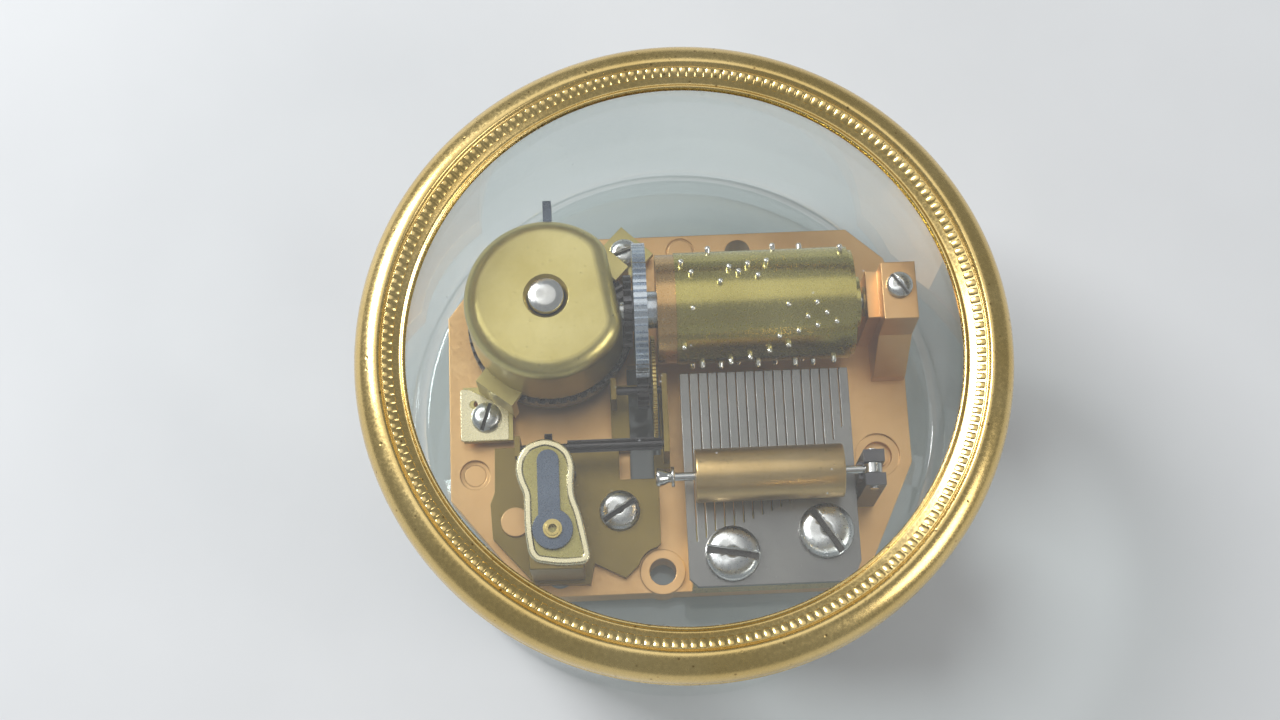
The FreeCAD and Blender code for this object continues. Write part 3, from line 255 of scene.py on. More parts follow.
drum_brass = turned("spring_drum_brass", (0.66, 0.56, 0.24), (0.54, 0.44, 0.15), 0.34,
                    BARREL, (1.0, 1.0, 0.0), 2500.0, 0.004)
sleeve_brass = turned("cylinder_brass", (0.60, 0.51, 0.17), (0.46, 0.38, 0.10), 0.24,
                      DRUM, (1.0, 0.0, 0.0), 6000.0, 0.0005, edge=0.0)
weight_brass = turned("weight_brass", (0.72, 0.51, 0.24), (0.58, 0.39, 0.16), 0.34,
                      middle("tilt_weight"), (1.0, 0.0, 0.0), 9000.0, 0.004)
button_steel = turned("turned_steel", (0.80, 0.79, 0.77), (0.68, 0.67, 0.66), 0.20,
                      BARREL, (1.0, 1.0, 0.0), 12000.0, 0.001, 0.75)
screw_steel = metal("screw_steel", (0.80, 0.79, 0.77), (0.66, 0.66, 0.66), 0.30, depth=0.0008, specks=0.06)
screw_steel.shader.inputs["Anisotropic"].default_value = 0.75
screw_steel.feed(screw_steel.shader.inputs["Tangent"], screw_steel.add(
    "ShaderNodeTangent", direction_type="UV_MAP", uv_map="UVMap").outputs[0])
# A near-black matte finish for painted shade on the floor of each screw slot.
painted_slot_shade = Recipe("painted_slot_shade", roughness=0.55)
painted_slot_shade.feed(painted_slot_shade.shader.inputs["Base Color"], painted_slot_shade.blend(
    painted_slot_shade.spread(painted_slot_shade.noise(900.0), 0.0, 1.0), (0.020, 0.017, 0.014, 1), (0.045, 0.036, 0.026, 1)))
print("turned finishes ready")

# %% [markdown]
# ### Gilding and clear plastic
# The ring is thin gilded sheet. Handling leaves specks and tiny pits in it, so small cells of
# noise sink into its relief and darken its tint. The drum and the lid are clear acrylic. Solid
# glass in a renderer swallows the lamp light that should reach the works, so the surface is mixed
# by hand: it lets light through, and mirrors as much as Fresnel's law says.

# %% Make the gilding and the clear plastic
gilt = metal("gilded_ring", (0.86, 0.65, 0.29), (0.74, 0.53, 0.20), 0.25, depth=0.003, edge=0.05,
             specks=0.12, patches=90.0)
pits = gilt.add("ShaderNodeTexVoronoi", {"Vector": gilt.place, "Scale": 1500.0, "Randomness": 1.0})
pit = gilt.spread(pits.outputs["Distance"], 0.0, 1.0, 0.06, 0.28)
cells = gilt.add("ShaderNodeSeparateColor", {"Color": pits.outputs["Color"]}).outputs[0]
chosen = gilt.add("ShaderNodeMath", {0: cells, 1: 0.90}, operation="LESS_THAN").outputs[0]
pit = gilt.add("ShaderNodeMath", {0: pit, 1: chosen}, operation="MAXIMUM").outputs[0]
smooth = gilt.shader.inputs["Base Color"].links[0].from_socket
gilt.feed(gilt.shader.inputs["Base Color"], gilt.blend(pit, (0.30, 0.19, 0.07, 1), smooth))
under = gilt.shader.inputs["Normal"].links[0].from_socket
gilt.feed(gilt.shader.inputs["Normal"], gilt.relief(pit, 0.02 * MM, under))


ACRYLIC = 1.49
DUST_PER_METRE, DUSTY_SHARE = 380.0, 0.35


def clear(name, tint, haze, dust):
    """Clear acrylic: see-through, with a Fresnel gloss, a faint haze and some dust.

    Light passes straight through here, so both faces of a wall use the index seen from outside."""
    recipe = Recipe(name, roughness=0.04, metallic=1.0)
    recipe.shader.inputs["Base Color"].default_value = (1, 1, 1, 1)
    through = recipe.add("ShaderNodeBsdfTransparent", {"Color": (*tint, 1)})
    inside = recipe.add("ShaderNodeNewGeometry").outputs["Backfacing"]
    index = recipe.spread(inside, ACRYLIC, 1 / ACRYLIC, 0.0, 1.0)
    gloss = recipe.add("ShaderNodeFresnel", {"IOR": index}).outputs[0]
    clouds = recipe.spread(recipe.noise(60.0, 5.0), 0.0, haze)
    share = recipe.add("ShaderNodeMath", {0: gloss, 1: clouds}, operation="ADD").outputs[0]
    surface = recipe.add("ShaderNodeMixShader", {0: share})
    recipe.feed(surface.inputs[1], through.outputs[0])
    recipe.feed(surface.inputs[2], recipe.shader.outputs[0])
    spots = recipe.add("ShaderNodeTexVoronoi", {"Vector": recipe.place, "Scale": DUST_PER_METRE})
    spot = recipe.spread(spots.outputs["Distance"], dust, 0.0, 0.02, 0.06)
    tone = recipe.add("ShaderNodeSeparateColor", {"Color": spots.outputs["Color"]}).outputs[0]
    few = recipe.add("ShaderNodeMath", {0: tone, 1: DUSTY_SHARE}, operation="LESS_THAN").outputs[0]
    spot = recipe.add("ShaderNodeMath", {0: spot, 1: few}, operation="MULTIPLY").outputs[0]
    lint = recipe.add("ShaderNodeBsdfDiffuse", {"Color": (0.85, 0.87, 0.88, 1)})
    dusty = recipe.add("ShaderNodeMixShader", {0: spot})
    recipe.feed(dusty.inputs[1], surface.outputs[0])
    recipe.feed(dusty.inputs[2], lint.outputs[0])
    output = next(node for node in recipe.tree.nodes if node.type == "OUTPUT_MATERIAL")
    recipe.feed(output.inputs["Surface"], dusty.outputs[0])
    return recipe


clear_wall = clear("clear_acrylic_wall", (0.90, 0.93, 0.925), 0.035, 0.08)
clear_lid = clear("clear_acrylic_lid", (0.985, 0.99, 0.985), 0.006, 0.30)
print("gilding and clear plastic ready")

# %% [markdown]
# ## Shaping helpers
# Three small tools make most of the new pieces. A lathe turns a profile round an axis. A softener
# rounds the corners of any outline. A cutter takes one shape out of another. Each finished piece
# sits at the origin with its place in its mesh, which keeps patterns still when a body moves.


# %% Outlines and finished pieces
def soften(points, radius, steps=4, closed=True):
    """Round each corner of a flat outline with a short arc."""
    count, result = len(points), []
    for index, point in enumerate(points):
        here = Vector(point)
        if not closed and index in (0, count - 1):
            result.append(tuple(here))
            continue
        before, after = Vector(points[index - 1]) - here, Vector(points[(index + 1) % count]) - here
        reach = min(radius, before.length * 0.45, after.length * 0.45)
        start, end = here + before.normalized() * reach, here + after.normalized() * reach
        for step in range(steps + 1):
            share = step / steps
            result.append(tuple(start * (1 - share) ** 2 + here * 2 * share * (1 - share)
                                + end * share ** 2))
    return result


def finish_piece(name, work, sharp=35.0, recalculate=True):
    """Turn a bmesh in millimetres into an object, with creases left sharp."""
    if recalculate:
        bmesh.ops.recalc_face_normals(work, faces=work.faces)
    for face in work.faces:
        face.smooth = True
    for edge in work.edges:
        edge.smooth = len(edge.link_faces) == 2 and edge.calc_face_angle() < math.radians(sharp)
    mesh = bpy.data.meshes.new(name)
    work.to_mesh(mesh)
    work.free()
    mesh.transform(Matrix.Scale(MM, 4))
    piece = bpy.data.objects.new(name, mesh)
    bpy.context.scene.collection.objects.link(piece)
    return piece


def settle(piece):
    """Apply a piece's modifiers, so that only its mesh is left."""
    graph = bpy.context.evaluated_depsgraph_get()
    mesh = bpy.data.meshes.new_from_object(piece.evaluated_get(graph))
    piece.modifiers.clear()
    piece.data = mesh
    return piece


def carve(piece, tools):
    """Cut tools out of a piece and throw them away."""
    for tool in tools:
        step = piece.modifiers.new("carve", "BOOLEAN")
        step.object = tool
        step.operation = "DIFFERENCE"
        step.solver = "EXACT"
    settle(piece)
    for tool in tools:
        bpy.data.objects.remove(tool)
    return piece


# %% The lathe
TO_AXIS = {
    "Z": Matrix.Identity(3),
    "X": Matrix(((0, 0, 1), (1, 0, 0), (0, 1, 0))),
}


def lathe(name, profile, centre, axis="Z", segments=128, closed=False, sharp=35.0):
    """Turn a profile of (radius, distance along the axis) points, in millimetres."""
    work = bmesh.new()
    uv = work.loops.layers.uv.new("UVMap")
    turn, rows = TO_AXIS[axis], []
    for radius, along in profile:
        row = []
        for step in range(segments if radius > 1e-6 else 1):
            angle = 2 * math.pi * step / segments
            point = Vector((radius * math.cos(angle), radius * math.sin(angle), along))
            row.append(work.verts.new(Vector(centre) + turn @ point))
        rows.append(row)
    pairs = list(zip(range(len(rows) - 1), range(1, len(rows)))) + ([(len(rows) - 1, 0)] if closed else [])
    for low, high in pairs:
        for step in range(segments):
            corners = [(low, step), (low, step + 1), (high, step + 1), (high, step)]
            used, seen = [], set()
            for row, place in corners:
                vertex = rows[row][place % len(rows[row])]
                if vertex not in seen:
                    seen.add(vertex)
                    used.append((vertex, place / segments, row / len(rows)))
            if len(used) > 2:
                face = work.faces.new([vertex for vertex, _, _ in used])
                for loop, (_, across, up) in zip(face.loops, used):
                    loop[uv].uv = (across, up)
    return finish_piece(name, work, sharp)


def wear(piece, recipe, body, *nodes, slot=None):
    """Give a finished piece its finish, its body and the CAD nodes that it stands for."""
    piece.data.materials.clear()
    piece.data.materials.append(recipe.material)
    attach(piece, body)
    if nodes:
        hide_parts(*nodes)
    faces = len(piece.data.polygons)
    print(f"{piece.name}: {faces} faces on {body}")
    return piece


def drum_cutter(x, y, radius, low, high):
    return lathe("cutter", [(0, low), (radius, low), (radius, high), (0, high)], (x, y, 0), segments=64)


# %% [markdown]
# ## The round case
# The cup is one acrylic moulding: a wall, a floor that stands above the table so that the winding
# key can hide under it, and three holes. Turning the profile in one go gives a wall of even
# thickness, and a rounded inner corner catches the bright arc that a moulded cup shows. The holes
# are cut afterwards, as they would be drilled.

# %% The clear cup
cup_low, cup_high = extent("case_cup")
lens_low, lens_high = extent("crystal_lens")
CUP_RADIUS, CUP_TOP, CUP_WALL, FOOT_WALL = cup_high.x, cup_high.z, 2.0, 2.4
FLOOR_LOW, FLOOR_TOP = 4.6, extent("bedplate")[0].z
wall_profile = soften([
    (CUP_RADIUS - FOOT_WALL, cup_low.z), (CUP_RADIUS, cup_low.z), (CUP_RADIUS, CUP_TOP),
    (CUP_RADIUS - CUP_WALL, CUP_TOP)], 0.35, closed=False)
wall_profile += soften([(CUP_RADIUS - CUP_WALL, FLOOR_TOP + 3), (CUP_RADIUS - CUP_WALL, FLOOR_TOP),
                        (0, FLOOR_TOP)], 1.1, 6, closed=False)
wall_profile += soften([(0, FLOOR_LOW), (CUP_RADIUS - FOOT_WALL, FLOOR_LOW),
                        (CUP_RADIUS - FOOT_WALL, cup_low.z + 0.4)], 0.5, closed=False)
cup = lathe("clear_cup", wall_profile, (0, 0, 0), segments=192, closed=True)
ARBOR_HOLE, SCREW_HOLE = 3.0, 1.2
screw_places = [(low + high) / 2 for low, high in separate_solids("case_screws")]
holes = [drum_cutter(BARREL.x, BARREL.y, ARBOR_HOLE, FLOOR_LOW - 1, FLOOR_TOP + 1)]
holes += [drum_cutter(place.x, place.y, SCREW_HOLE, FLOOR_LOW - 1, FLOOR_TOP + 1)
          for place in screw_places]
carve(cup, holes)
wear(cup, clear_wall, "case", "case_cup", slot="clear_acrylic")

# %% The clear lid
lens = lathe("clear_lid", soften([
    (0, lens_low.z), (lens_high.x, lens_low.z), (lens_high.x, lens_high.z), (0, lens_high.z)],
    0.25, closed=False), (0, 0, 0), segments=192)
wear(lens, clear_lid, "case", "crystal_lens", slot="clear_acrylic")

# %% [markdown]
# ## The gilded ring
# The ring is spun from sheet metal: a rolled bead at its lower edge, a broad rounded band, a
# groove, a sloping band with pressed flutes, and a thin lip that holds the lid. The plain parts
# are one turned profile. The flutes repeat all the way round, which is what Geometry Nodes are
# for: one small flute, a circle of points, and one turn for each point.

# %% The plain bands of the ring
ring_low, ring_high = extent("bezel_ring")
RING, TOP, SKIRT = ring_high.x, ring_high.z, ring_low.z
LIP = lens_high.z
BAND_START, BAND_RISE = 28.5, 0.56
ring_profile = [
    (31.3, SKIRT + 0.1), (31.4, SKIRT), (RING - 0.4, SKIRT), (RING - 0.12, SKIRT + 0.1),
    (RING, SKIRT + 0.35), (RING - 0.05, SKIRT + 0.6), (RING - 0.24, SKIRT + 0.75),
    (RING - 0.27, SKIRT + 0.85), (RING - 0.1, SKIRT + 0.98), (RING - 0.01, SKIRT + 1.3),
    (RING - 0.02, SKIRT + 1.9), (RING - 0.12, SKIRT + 2.5), (RING - 0.32, SKIRT + 3.05),
    (RING - 0.62, TOP - 0.95), (RING - 1.0, TOP - 0.58), (RING - 1.45, TOP - 0.3),
    (RING - 1.9, TOP - 0.1), (RING - 2.35, TOP), (RING - 2.6, TOP - 0.02), (RING - 2.76, TOP - 0.12),
    (RING - 2.82, TOP - 0.4), (RING - 2.95, TOP - 0.46), (RING - 3.05, TOP - 0.36),
    (BAND_START, LIP + BAND_RISE), (28.34, LIP + 0.42), (28.22, LIP + 0.44), (28.12, LIP + 0.64),
    (27.98, LIP + 0.72), (27.84, LIP + 0.66), (27.77, LIP + 0.5), (27.75, LIP + 0.03),
    (31.3, LIP + 0.03)]
ring = lathe("gilded_ring", ring_profile, (0, 0, 0), segments=256, closed=True, sharp=60.0)
wear(ring, gilt, "case", "bezel_ring", slot="gilt")


# %% A helper for Geometry Nodes trees
class Tree:
    """A Geometry Nodes tree with named inputs, ending in one mesh with one material."""

    KINDS = {"int": "NodeSocketInt", "float": "NodeSocketFloat", "object": "NodeSocketObject",
             "material": "NodeSocketMaterial", "geometry": "NodeSocketGeometry"}

    def __init__(self, name, **inputs):
        self.tree = bpy.data.node_groups.new(name, "GeometryNodeTree")
        self.keys = {}
        for label, kind in [("Geometry", "geometry")] + list(inputs.items()):
            socket = self.tree.interface.new_socket(label, in_out="INPUT", socket_type=self.KINDS[kind])
            self.keys[label] = socket.identifier
        self.tree.interface.new_socket("Geometry", in_out="OUTPUT", socket_type="NodeSocketGeometry")
        self.source = self.tree.nodes.new("NodeGroupInput").outputs

    def add(self, kind, inputs=None, **settings):
        node = self.tree.nodes.new(kind)
        for setting, value in settings.items():
            setattr(node, setting, value)
        for socket, value in (inputs or {}).items():
            if isinstance(value, bpy.types.NodeSocket):
                self.tree.links.new(value, node.inputs[socket])
            else:
                node.inputs[socket].default_value = value
        return node

    def end(self, instances):
        real = self.add("GeometryNodeRealizeInstances", {"Geometry": instances})
        painted = self.add("GeometryNodeSetMaterial", {
            "Geometry": real.outputs[0], "Material": self.source["Material"]})
        output = self.tree.nodes.new("NodeGroupOutput")
        self.tree.links.new(painted.outputs[0], output.inputs[0])
        return self

    def grow(self, name, start, **values):
        """Run the tree on a start mesh and keep its result as a plain piece."""
        carrier = bpy.data.objects.new(name, start)
        bpy.context.scene.collection.objects.link(carrier)
        step = carrier.modifiers.new("grow", "NODES")
        step.node_group = self.tree
        for label, value in values.items():
            step[self.keys[label]] = value
        return settle(carrier)


def hidden_part(piece):
    """Keep a shape only as a pattern for copies."""
    piece.hide_render = True
    return piece


# %% One flute of the ring
def flute_shape(length, width, height, slope):
    """A half round ridge along x that dies away at both ends."""
    work, rows = bmesh.new(), []
    for share, swell in ((0.0, 0.45), (0.10, 0.95), (0.5, 1.0), (0.90, 0.95), (1.0, 0.45)):
        along = (share - 0.5) * length
        row = []
        for step in range(6):
            angle = math.pi * step / 5
            side = math.cos(angle) * width / 2 * (0.6 + 0.4 * swell)
            up = math.sin(angle) * height * swell + along * math.tan(slope) - 0.05
            row.append(work.verts.new((along, side, up)))
        rows.append(row)
    for low, high in zip(rows, rows[1:]):
        for step in range(5):
            work.faces.new((low[step], low[step + 1], high[step + 1], high[step]))
        work.faces.new((low[5], low[0], high[0], high[5]))
    work.faces.new(rows[0])
    work.faces.new(rows[-1])
    return hidden_part(finish_piece("flute", work, 50.0))


# %% Set the flutes round the ring
FLUTES = 210
band_middle = 29.4
band_slope = math.atan2(TOP - 0.36 - LIP - BAND_RISE, RING - 3.05 - BAND_START)
flutes = Tree("ring_of_flutes", Count="int", Radius="float", Lift="float", Pattern="object",
              Material="material")
rim = flutes.add("GeometryNodeMeshCircle", {
    "Vertices": flutes.source["Count"], "Radius": flutes.source["Radius"]})
share = flutes.add("ShaderNodeMath", {
    0: flutes.add("GeometryNodeInputIndex").outputs[0], 1: flutes.source["Count"]}, operation="DIVIDE")
angle = flutes.add("ShaderNodeMath", {0: share.outputs[0], 1: 2 * math.pi}, operation="MULTIPLY")
facing = flutes.add("ShaderNodeCombineXYZ", {"Z": angle.outputs[0]})
pattern = flutes.add("GeometryNodeObjectInfo", {"Object": flutes.source["Pattern"]})
copies = flutes.add("GeometryNodeInstanceOnPoints", {
    "Points": rim.outputs[0], "Instance": pattern.outputs["Geometry"],
    "Rotation": facing.outputs[0]})
height = flutes.add("ShaderNodeCombineXYZ", {"Z": flutes.source["Lift"]})
raised = flutes.add("GeometryNodeTransform", {
    "Geometry": copies.outputs[0], "Translation": height.outputs[0]})
flutes.end(raised.outputs[0])
flute = flute_shape(0.95, 0.84, 0.12, band_slope)
fluted_band = flutes.grow(
    "fluted_band", bpy.data.meshes.new("seed"), Count=FLUTES, Radius=band_middle * MM,
    Lift=(LIP + BAND_RISE + (band_middle - BAND_START) * math.tan(band_slope)) * MM, Pattern=flute,
    Material=gilt.material)
bpy.data.objects.remove(flute)
wear(fluted_band, gilt, "case", slot="gilt")

# %% [markdown]
# ## Screws
# Eleven slotted screws hold the works, and they differ only in size, place and which way their
# slots point. One good screw is enough: a domed head from the lathe with a slot cut across it.
# The CAD model knows where each one goes, so a point carries its size and turn, and Geometry
# Nodes set a copy on each point.

# %% The pattern screw, with a head of radius 1 and height 1
dome = [(0, 1.0), (0.3, 0.985), (0.55, 0.92), (0.78, 0.80), (0.93, 0.62), (1.0, 0.40), (1.0, 0.06),
        (0.97, 0.0), (0.44, 0.0), (0.44, -2.6), (0.36, -2.8), (0, -2.8)]
SLOT_WIDTH = 0.27
pattern_screw = lathe("pattern_screw", dome, (0, 0, 0), segments=48, sharp=40.0)
slot_work = bmesh.new()
bmesh.ops.create_cube(slot_work, size=1.0, matrix=Matrix.Translation((0, 0, 0.95)) @ Matrix.Diagonal(
    (3.0, SLOT_WIDTH, 1.0, 1.0)))
carve(pattern_screw, [finish_piece("slot", slot_work)])
hidden_part(pattern_screw)
# A thin dark strip that lies on each slot's floor as painted shade.
slot_shade_work = bmesh.new()
bmesh.ops.create_cube(slot_shade_work, size=1.0, matrix=Matrix.Translation((0, 0, 0.47)) @ Matrix.Diagonal(
    (1.9, SLOT_WIDTH * 0.96, 0.08, 1.0)))
pattern_slot = hidden_part(finish_piece("pattern_slot", slot_shade_work))
print("pattern screw:", len(pattern_screw.data.polygons), "faces")

# %% A tree that sets screws on points
screws = Tree("screws_on_points", Pattern="object", Material="material")
size_read = screws.add("GeometryNodeInputNamedAttribute", {"Name": "size"}, data_type="FLOAT_VECTOR")
turn_read = screws.add("GeometryNodeInputNamedAttribute", {"Name": "turn"}, data_type="FLOAT_VECTOR")
model = screws.add("GeometryNodeObjectInfo", {"Object": screws.source["Pattern"]})
placed = screws.add("GeometryNodeInstanceOnPoints", {
    "Points": screws.source["Geometry"], "Instance": model.outputs["Geometry"],
    "Rotation": turn_read.outputs[0], "Scale": size_read.outputs[0]})
screws.end(placed.outputs[0])


def point_mesh(places, sizes, turns):
    mesh = bpy.data.meshes.new("points")
    mesh.from_pydata([tuple(Vector(place) * MM) for place in places], [], [])
    for name, values in (("size", sizes), ("turn", turns)):
        store = mesh.attributes.new(name, "FLOAT_VECTOR", "POINT")
        store.data.foreach_set("vector", [number for value in values for number in value])
    return mesh


def set_screws(name, node, head_height, angles, down=False, body="case"):
    """A domed screw for each solid of a CAD node, its slot turned by the angle given.

    A thin near-black strip lies on the floor of each slot as painted shade."""
    places, sizes, turns = [], [], []
    for (low, high), angle in zip(separate_solids(node), angles):
        radius = (high.x - low.x) / 2
        base = low.z + head_height if down else high.z - head_height
        places.append(((low.x + high.x) / 2, (low.y + high.y) / 2, base))
        sizes.append((radius, radius, head_height))
        turns.append((math.pi if down else 0.0, 0.0, math.radians(angle)))
    # The dark strips set here in the slots are painted shade.
    slot_shades = screws.grow(name + "_slots", point_mesh(places, sizes, turns), Pattern=pattern_slot,
                         Material=painted_slot_shade.material)
    wear(slot_shades, painted_slot_shade, body, slot="dark_steel")
    piece = screws.grow(name, point_mesh(places, sizes, turns), Pattern=pattern_screw,
                        Material=screw_steel.material)
    return wear(piece, screw_steel, body, node, slot="bright_steel")


# %% Set all the screws
set_screws("comb_screw_heads", "comb_screws", 1.5, (-10, -57))
set_screws("housing_screw_heads", "housing_screws", 1.1, (72, 20))
set_screws("block_screw_head", "bush_screw", 0.9, (-55,))
set_screws("governor_screw_head", "governor_screw", 1.1, (32,))
set_screws("under_screw_heads", "under_screws", 1.2, (20, 55, 90, 125), down=True)
set_screws("cock_screw_head", "cock_screw", 0.8, (15,), down=True)
bpy.data.objects.remove(pattern_screw)
bpy.data.objects.remove(pattern_slot)

# %% [markdown]
# ## The pinned cylinder
# Each pin is a bit of steel wire, ground to the same height and a little rounded by the comb. The
# CAD model holds one small solid for each pin, so their centres give the places, and the line
# from the axis gives the way each one points. The same screw tree can set them, because a pin is
# only another pattern with a size and a turn.

# %% Set the pins
axis_y, axis_z = DRUM.y, DRUM.z
pin_shape = lathe("pin", [(0, 1.0), (0.4, 0.98), (0.7, 0.92), (0.9, 0.82), (1.0, 0.68), (1.0, 0.0), (0, 0.0)],
                  (0, 0, 0), segments=12, sharp=70.0)
hidden_part(pin_shape)
PIN_ROOT, PIN_TIP, PIN_RADIUS = 5.8, 6.7, 0.31
places, turns = [], []
for low, high in separate_solids("cylinder_pins"):
    centre = (low + high) / 2
    lean = math.atan2(centre.z - axis_z, centre.y - axis_y)
    places.append((centre.x, axis_y + PIN_ROOT * math.cos(lean), axis_z + PIN_ROOT * math.sin(lean)))
    turns.append((lean - math.pi / 2, 0.0, 0.0))
pins = screws.grow("music_pins", point_mesh(
    places, [(PIN_RADIUS, PIN_RADIUS, PIN_TIP - PIN_ROOT)] * len(places), turns),
    Pattern=pin_shape, Material=pin_steel.material)
bpy.data.objects.remove(pin_shape)
wear(pins, pin_steel, "cylinder", "cylinder_pins", slot="bright_steel")
print("pins set:", len(places))

# %% [markdown]
# ## The comb
# The comb is one plate of hardened steel with eighteen teeth. A long tooth sounds low and a short
# one high, so the slots end on a slanting line. One outline that walks round every tooth, raised
# to the plate's thickness, gives clean flat teeth, and a small bevel lights their edges.

# %% The comb's outline, raised and bevelled
comb_low, comb_high = extent("comb")
TEETH, SLOT = 18, 0.14
pitch = (comb_high.x - comb_low.x) / TEETH
BACK, TIP = comb_low.y, comb_high.y


def slot_end(number):
    """How far back the slot beside a tooth is cut."""
    extra = max(0, number - 11) * 0.37 * 2.6
    return BACK + 4.4 + number * 0.37 + extra


def raised_plate(name, outline, low, high, bevel, segments=2):
    """A flat outline raised from low to high, with its edges bevelled."""
    work = bmesh.new()
    face = work.faces.new([work.verts.new((x, y, low)) for x, y in outline])
    grown = bmesh.ops.extrude_face_region(work, geom=[face])
    for item in grown["geom"]:
        if isinstance(item, bmesh.types.BMVert):
            item.co.z = high
    piece = finish_piece(name, work)
    step = piece.modifiers.new("bevel", "BEVEL")
    step.width = bevel * MM
    step.segments = segments
    step.limit_method = "ANGLE"
    step.angle_limit = math.radians(50)
    return settle(piece)


outline = [(comb_low.x, BACK + 0.9), (comb_low.x + 0.9, BACK), (comb_high.x - 1.6, BACK),
           (comb_high.x - 0.4, BACK + 1.2), (comb_high.x, BACK + 2.1), (comb_high.x, TIP)]
for number in range(TEETH - 1, 0, -1):
    middle_x = comb_low.x + number * pitch
    root = slot_end(number)
    outline += [(middle_x + SLOT / 2, TIP), (middle_x + SLOT / 2, root),
                (middle_x - SLOT / 2, root), (middle_x - SLOT / 2, TIP)]
outline.append((comb_low.x, TIP))
comb = raised_plate("steel_comb", outline, comb_low.z, comb_high.z, 0.03)
wear(comb, comb_steel, "case", "comb", slot="comb_steel")

# %% [markdown]
# ## Turned parts that show
# The domed end of the winding arbor, the brass weight and its steel knob were all made on a
# lathe, so they are made on ours. Real turned parts always have a small chamfer, and it is that
# thin bright line, more than anything else, that makes a cylinder look like metal.

# %% The winding arbor
arbor_low, arbor_high = extent("winding_arbor")
arbor = lathe("winding_arbor_turned", [
    (0, arbor_low.z), (1.1, arbor_low.z), (1.2, arbor_low.z + 0.1), (1.2, FLOOR_LOW - 0.5),
    (1.5, FLOOR_LOW - 0.4), (1.5, arbor_high.z - 1.36), (1.9, arbor_high.z - 1.34),
    (1.9, arbor_high.z - 0.5), (1.84, arbor_high.z - 0.36), (1.5, arbor_high.z - 0.2),
    (1.0, arbor_high.z - 0.08), (0.5, arbor_high.z - 0.02), (0, arbor_high.z)],
    (BARREL.x, BARREL.y, 0), segments=96)
wear(arbor, button_steel, "winding_key", "winding_arbor", slot="bright_steel")

# %% The weight and its knob
weight_low, weight_high = extent("tilt_weight")
weight_axis = (0, (weight_low.y + weight_high.y) / 2, (weight_low.z + weight_high.z) / 2)
thick = (weight_high.z - weight_low.z) / 2
weight = lathe("brass_weight", soften([
    (0.46, weight_low.x), (thick, weight_low.x), (thick, weight_high.x), (0.46, weight_high.x)],
    0.22, 3, closed=True), weight_axis, "X", segments=96, closed=True)
wear(weight, weight_brass, "tilt_weight", "tilt_weight", slot="sleeve_brass")

knob_left = extent("tilt_knob")[0].x
KNOB = [(0, 0.0), (0.72, 0.0), (0.95, 0.14), (1.0, 0.35), (0.86, 0.8), (0.60, 1.28), (0.56, 1.5),
        (0.62, 1.58), (1.02, 1.62), (1.08, 1.7), (1.08, 1.84), (1.02, 1.93), (0.5, 1.95)]
knob = lathe("weight_knob", [(radius, knob_left + along) for radius, along in KNOB],
             weight_axis, "X", segments=48, sharp=28.0)
wear(knob, bright_steel, "tilt_weight", "tilt_knob", slot="bright_steel")

# %% [markdown]
# ## The governor's cock
# The cock is a pressed brass bridge over the air brake. It has a round head over the worm's
# pivot, a waist, and a foot that bends down to the frame, and its edge is turned up in a soft
# rim. We draw the outline as a few points, round it, raise it, and then press the middle of its
# top in, which leaves the rim standing.

# %% The cock's outline and rim
cock_low, cock_high = extent("governor_cock")
worm_spot = middle("worm")
COCK = [(-0.33, 2.55), (-2.28, 1.9), (-3.27, 0.52), (-3.46, -1.0), (-3.13, -2.32), (-2.62, -3.43),
        (-2.62, -4.94), (-2.61, -7.3), (-2.3, -9.67), (-1.6, -10.6), (1.18, -11.08), (3.6, -10.95),
        (4.2, -10.15), (3.81, -8.0), (3.26, -5.4), (2.68, -3.87), (2.62, -2.35), (2.82, -0.61),
        (2.4, 0.94), (1.37, 1.97)]
outline = soften([(worm_spot.x + x, worm_spot.y + y) for x, y in COCK], 1.1, 4)
RIM_WIDTH, RIM_SLOPE, RIM_DEPTH = 0.42, 0.12, 0.14
cock = raised_plate("governor_cock_pressed", outline, cock_high.z - 1.0, cock_high.z, 0.22, 3)
work = bmesh.new()
work.from_mesh(cock.data)
top = max(work.faces, key=lambda face: face.calc_area() * (face.normal.z > 0.9))
bmesh.ops.inset_region(work, faces=[top], thickness=RIM_WIDTH * MM, depth=0.0)
bmesh.ops.inset_region(work, faces=[top], thickness=RIM_SLOPE * MM, depth=-RIM_DEPTH * MM)
work.to_mesh(cock.data)
work.free()
FOOT = [(-2.3, -9.8), (-2.3, -11.3), (3.4, -11.4), (3.3, -9.6)]
foot_outline = soften([(worm_spot.x + x, worm_spot.y + y) for x, y in FOOT], 0.3, 3)
foot = raised_plate("governor_cock_foot", foot_outline, cock_low.z, cock_high.z - 0.6, 0.1)
wear(cock, pale_brass, "case", "governor_cock", slot="plate_brass")
cock.data.materials.append(olive_brass.material)
pressed = max(cock.data.polygons, key=lambda face: face.area * (face.normal.z > 0.9))
pressed.material_index = 1
wear(foot, frame_brass, "case", slot="plate_brass")

# %% The polished face of the spring motor's foot
ear_screw = separate_solids("housing_screws")[0]
screw_x, screw_y = (ear_screw[0].x + ear_screw[1].x) / 2, (ear_screw[0].y + ear_screw[1].y) / 2
EAR_TOP = 12.4
foot_face = raised_plate("motor_foot_face", soften([
    (screw_x - 2.85, screw_y - 2.55), (screw_x + 2.4, screw_y - 2.55),
    (screw_x + 2.4, screw_y + 1.0), (screw_x + 1.3, screw_y + 1.5), (screw_x - 1.9, screw_y + 3.3),
    (screw_x - 2.85, screw_y + 3.3)], 0.3, 3), EAR_TOP - 0.1, EAR_TOP + 0.04, 0.03)
carve(foot_face, [drum_cutter(screw_x - 1.4, screw_y + 1.55, 0.45, EAR_TOP - 1, EAR_TOP + 1)])
for face in foot_face.data.polygons:
    face.use_smooth = False
wear(foot_face, pale_brass, "case", slot="drum_brass")

# %% [markdown]
# ## Finishes for the pieces that keep their CAD shape
# Gears, plates and springs already have the right shape, so they only change their finish. The
# dictionary below is a parts list: a finish, and the nodes that wear it.

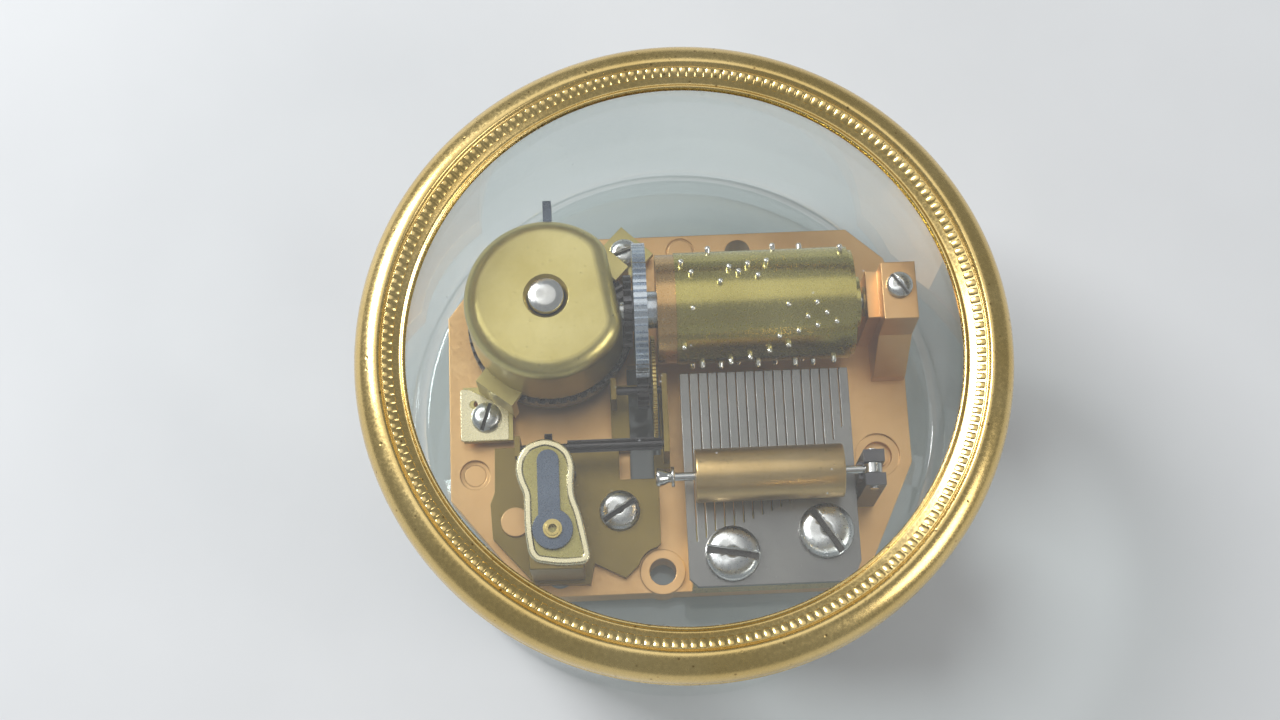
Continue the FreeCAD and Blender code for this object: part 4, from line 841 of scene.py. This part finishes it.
# %% Dress the CAD nodes
WEARERS = {
    copper_gold: ("bedplate", "bearing_block", "case_screws"),
    drum_brass: ("spring_housing",),
    sleeve_brass: ("cylinder_sleeve", "right_cap"),
    cap_brass: ("left_cap",),
    drawn_brass: ("first_wheel", "comb_base", "winding_key", "end_cap_rivet", "shaft_bush"),
    frame_brass: ("governor_frame",),
    gear_steel: ("cylinder_gear",),
    bright_steel: ("cylinder_shaft", "tilt_rod", "tilt_pin"),
    blued_steel: ("mainspring", "clutch_spring", "end_cap_spring"),
    dark_steel: ("great_wheel", "cylinder_pinion", "first_arbor", "first_pinion", "second_arbor",
                 "worm_wheel", "worm", "air_fan", "tilt_post"),
}
for recipe, names in WEARERS.items():
    for name in names:
        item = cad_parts[name]
        item.data.materials.clear()
        item.data.materials.append(recipe.material)
print("nodes dressed:", sum(len(names) for names in WEARERS.values()))

# %% [markdown]
# ## Floor, light and camera
# Polished metal shows its surroundings more than itself. A soft lamp from the upper left gives the
# long highlights, a large dim one overhead lights the upward faces, a weaker one from the right
# opens the shadows, and an even grey sky does the rest. The floor is plain and pale.

# %% The floor
floor_work = bmesh.new()
bmesh.ops.create_grid(floor_work, x_segments=1, y_segments=1, size=900)
floor = finish_piece("floor", floor_work, recalculate=False)
paper = Recipe("pale_floor", roughness=0.6)
paper.feed(paper.shader.inputs["Base Color"], paper.blend(
    paper.spread(paper.noise(30.0, 4.0), 0.0, 1.0), (0.60, 0.605, 0.61, 1), (0.63, 0.635, 0.64, 1)))
floor.data.materials.append(paper.material)


# %% The lamps and the sky
def lamp(name, place, aim, width, power, tint=(1.0, 1.0, 1.0)):
    light = bpy.data.lights.new(name, "AREA")
    light.shape = "DISK"
    light.size = width
    light.energy = power
    light.color = tint
    item = bpy.data.objects.new(name, light)
    item.location = place
    item.rotation_euler = (Vector(aim) - Vector(place)).to_track_quat("-Z", "Y").to_euler()
    bpy.context.scene.collection.objects.link(item)


lamp("window", (-0.42, 0.30, 0.50), (0, 0, 0.02), 0.30, 5.0, (0.96, 0.98, 1.0))
lamp("overhead", (-0.05, 0.16, 0.55), (0, 0, 0.02), 0.50, 0.45, (1.0, 0.99, 0.97))
lamp("fill", (0.50, -0.25, 0.40), (0, 0, 0.02), 0.30, 1.2, (1.0, 0.97, 0.92))
sky = bpy.data.worlds.new("grey_sky")
bpy.context.scene.world = sky
sky.use_nodes = True
sky.node_tree.nodes["Background"].inputs["Color"].default_value = (0.62, 0.66, 0.70, 1)
sky.node_tree.nodes["Background"].inputs["Strength"].default_value = 0.42
print("lamps set")

# %% [markdown]
# The camera looks down steeply from the front. Its direction is given as the three directions of
# its own frame, right, up and back, which leave no doubt about a small turn.

# %% The camera
camera_data = bpy.data.cameras.new("camera")
camera_data.lens = 52.03
camera_data.sensor_width = 36.0
camera_data.clip_start = 0.01
camera = bpy.data.objects.new("camera", camera_data)
right, up = Vector((0.99912, -0.04188, 0.0)), Vector((0.04030, 0.96137, 0.27228))
back = right.cross(up)
camera.matrix_world = Matrix.Translation(Vector((-6.54, -51.05, 209.19)) * MM) @ Matrix(
    (right, up, back)).transposed().to_4x4()
bpy.context.scene.collection.objects.link(camera)
bpy.context.scene.camera = camera
bpy.context.scene.view_settings.view_transform = "Standard"
print("camera looks along", [round(-value, 3) for value in back])
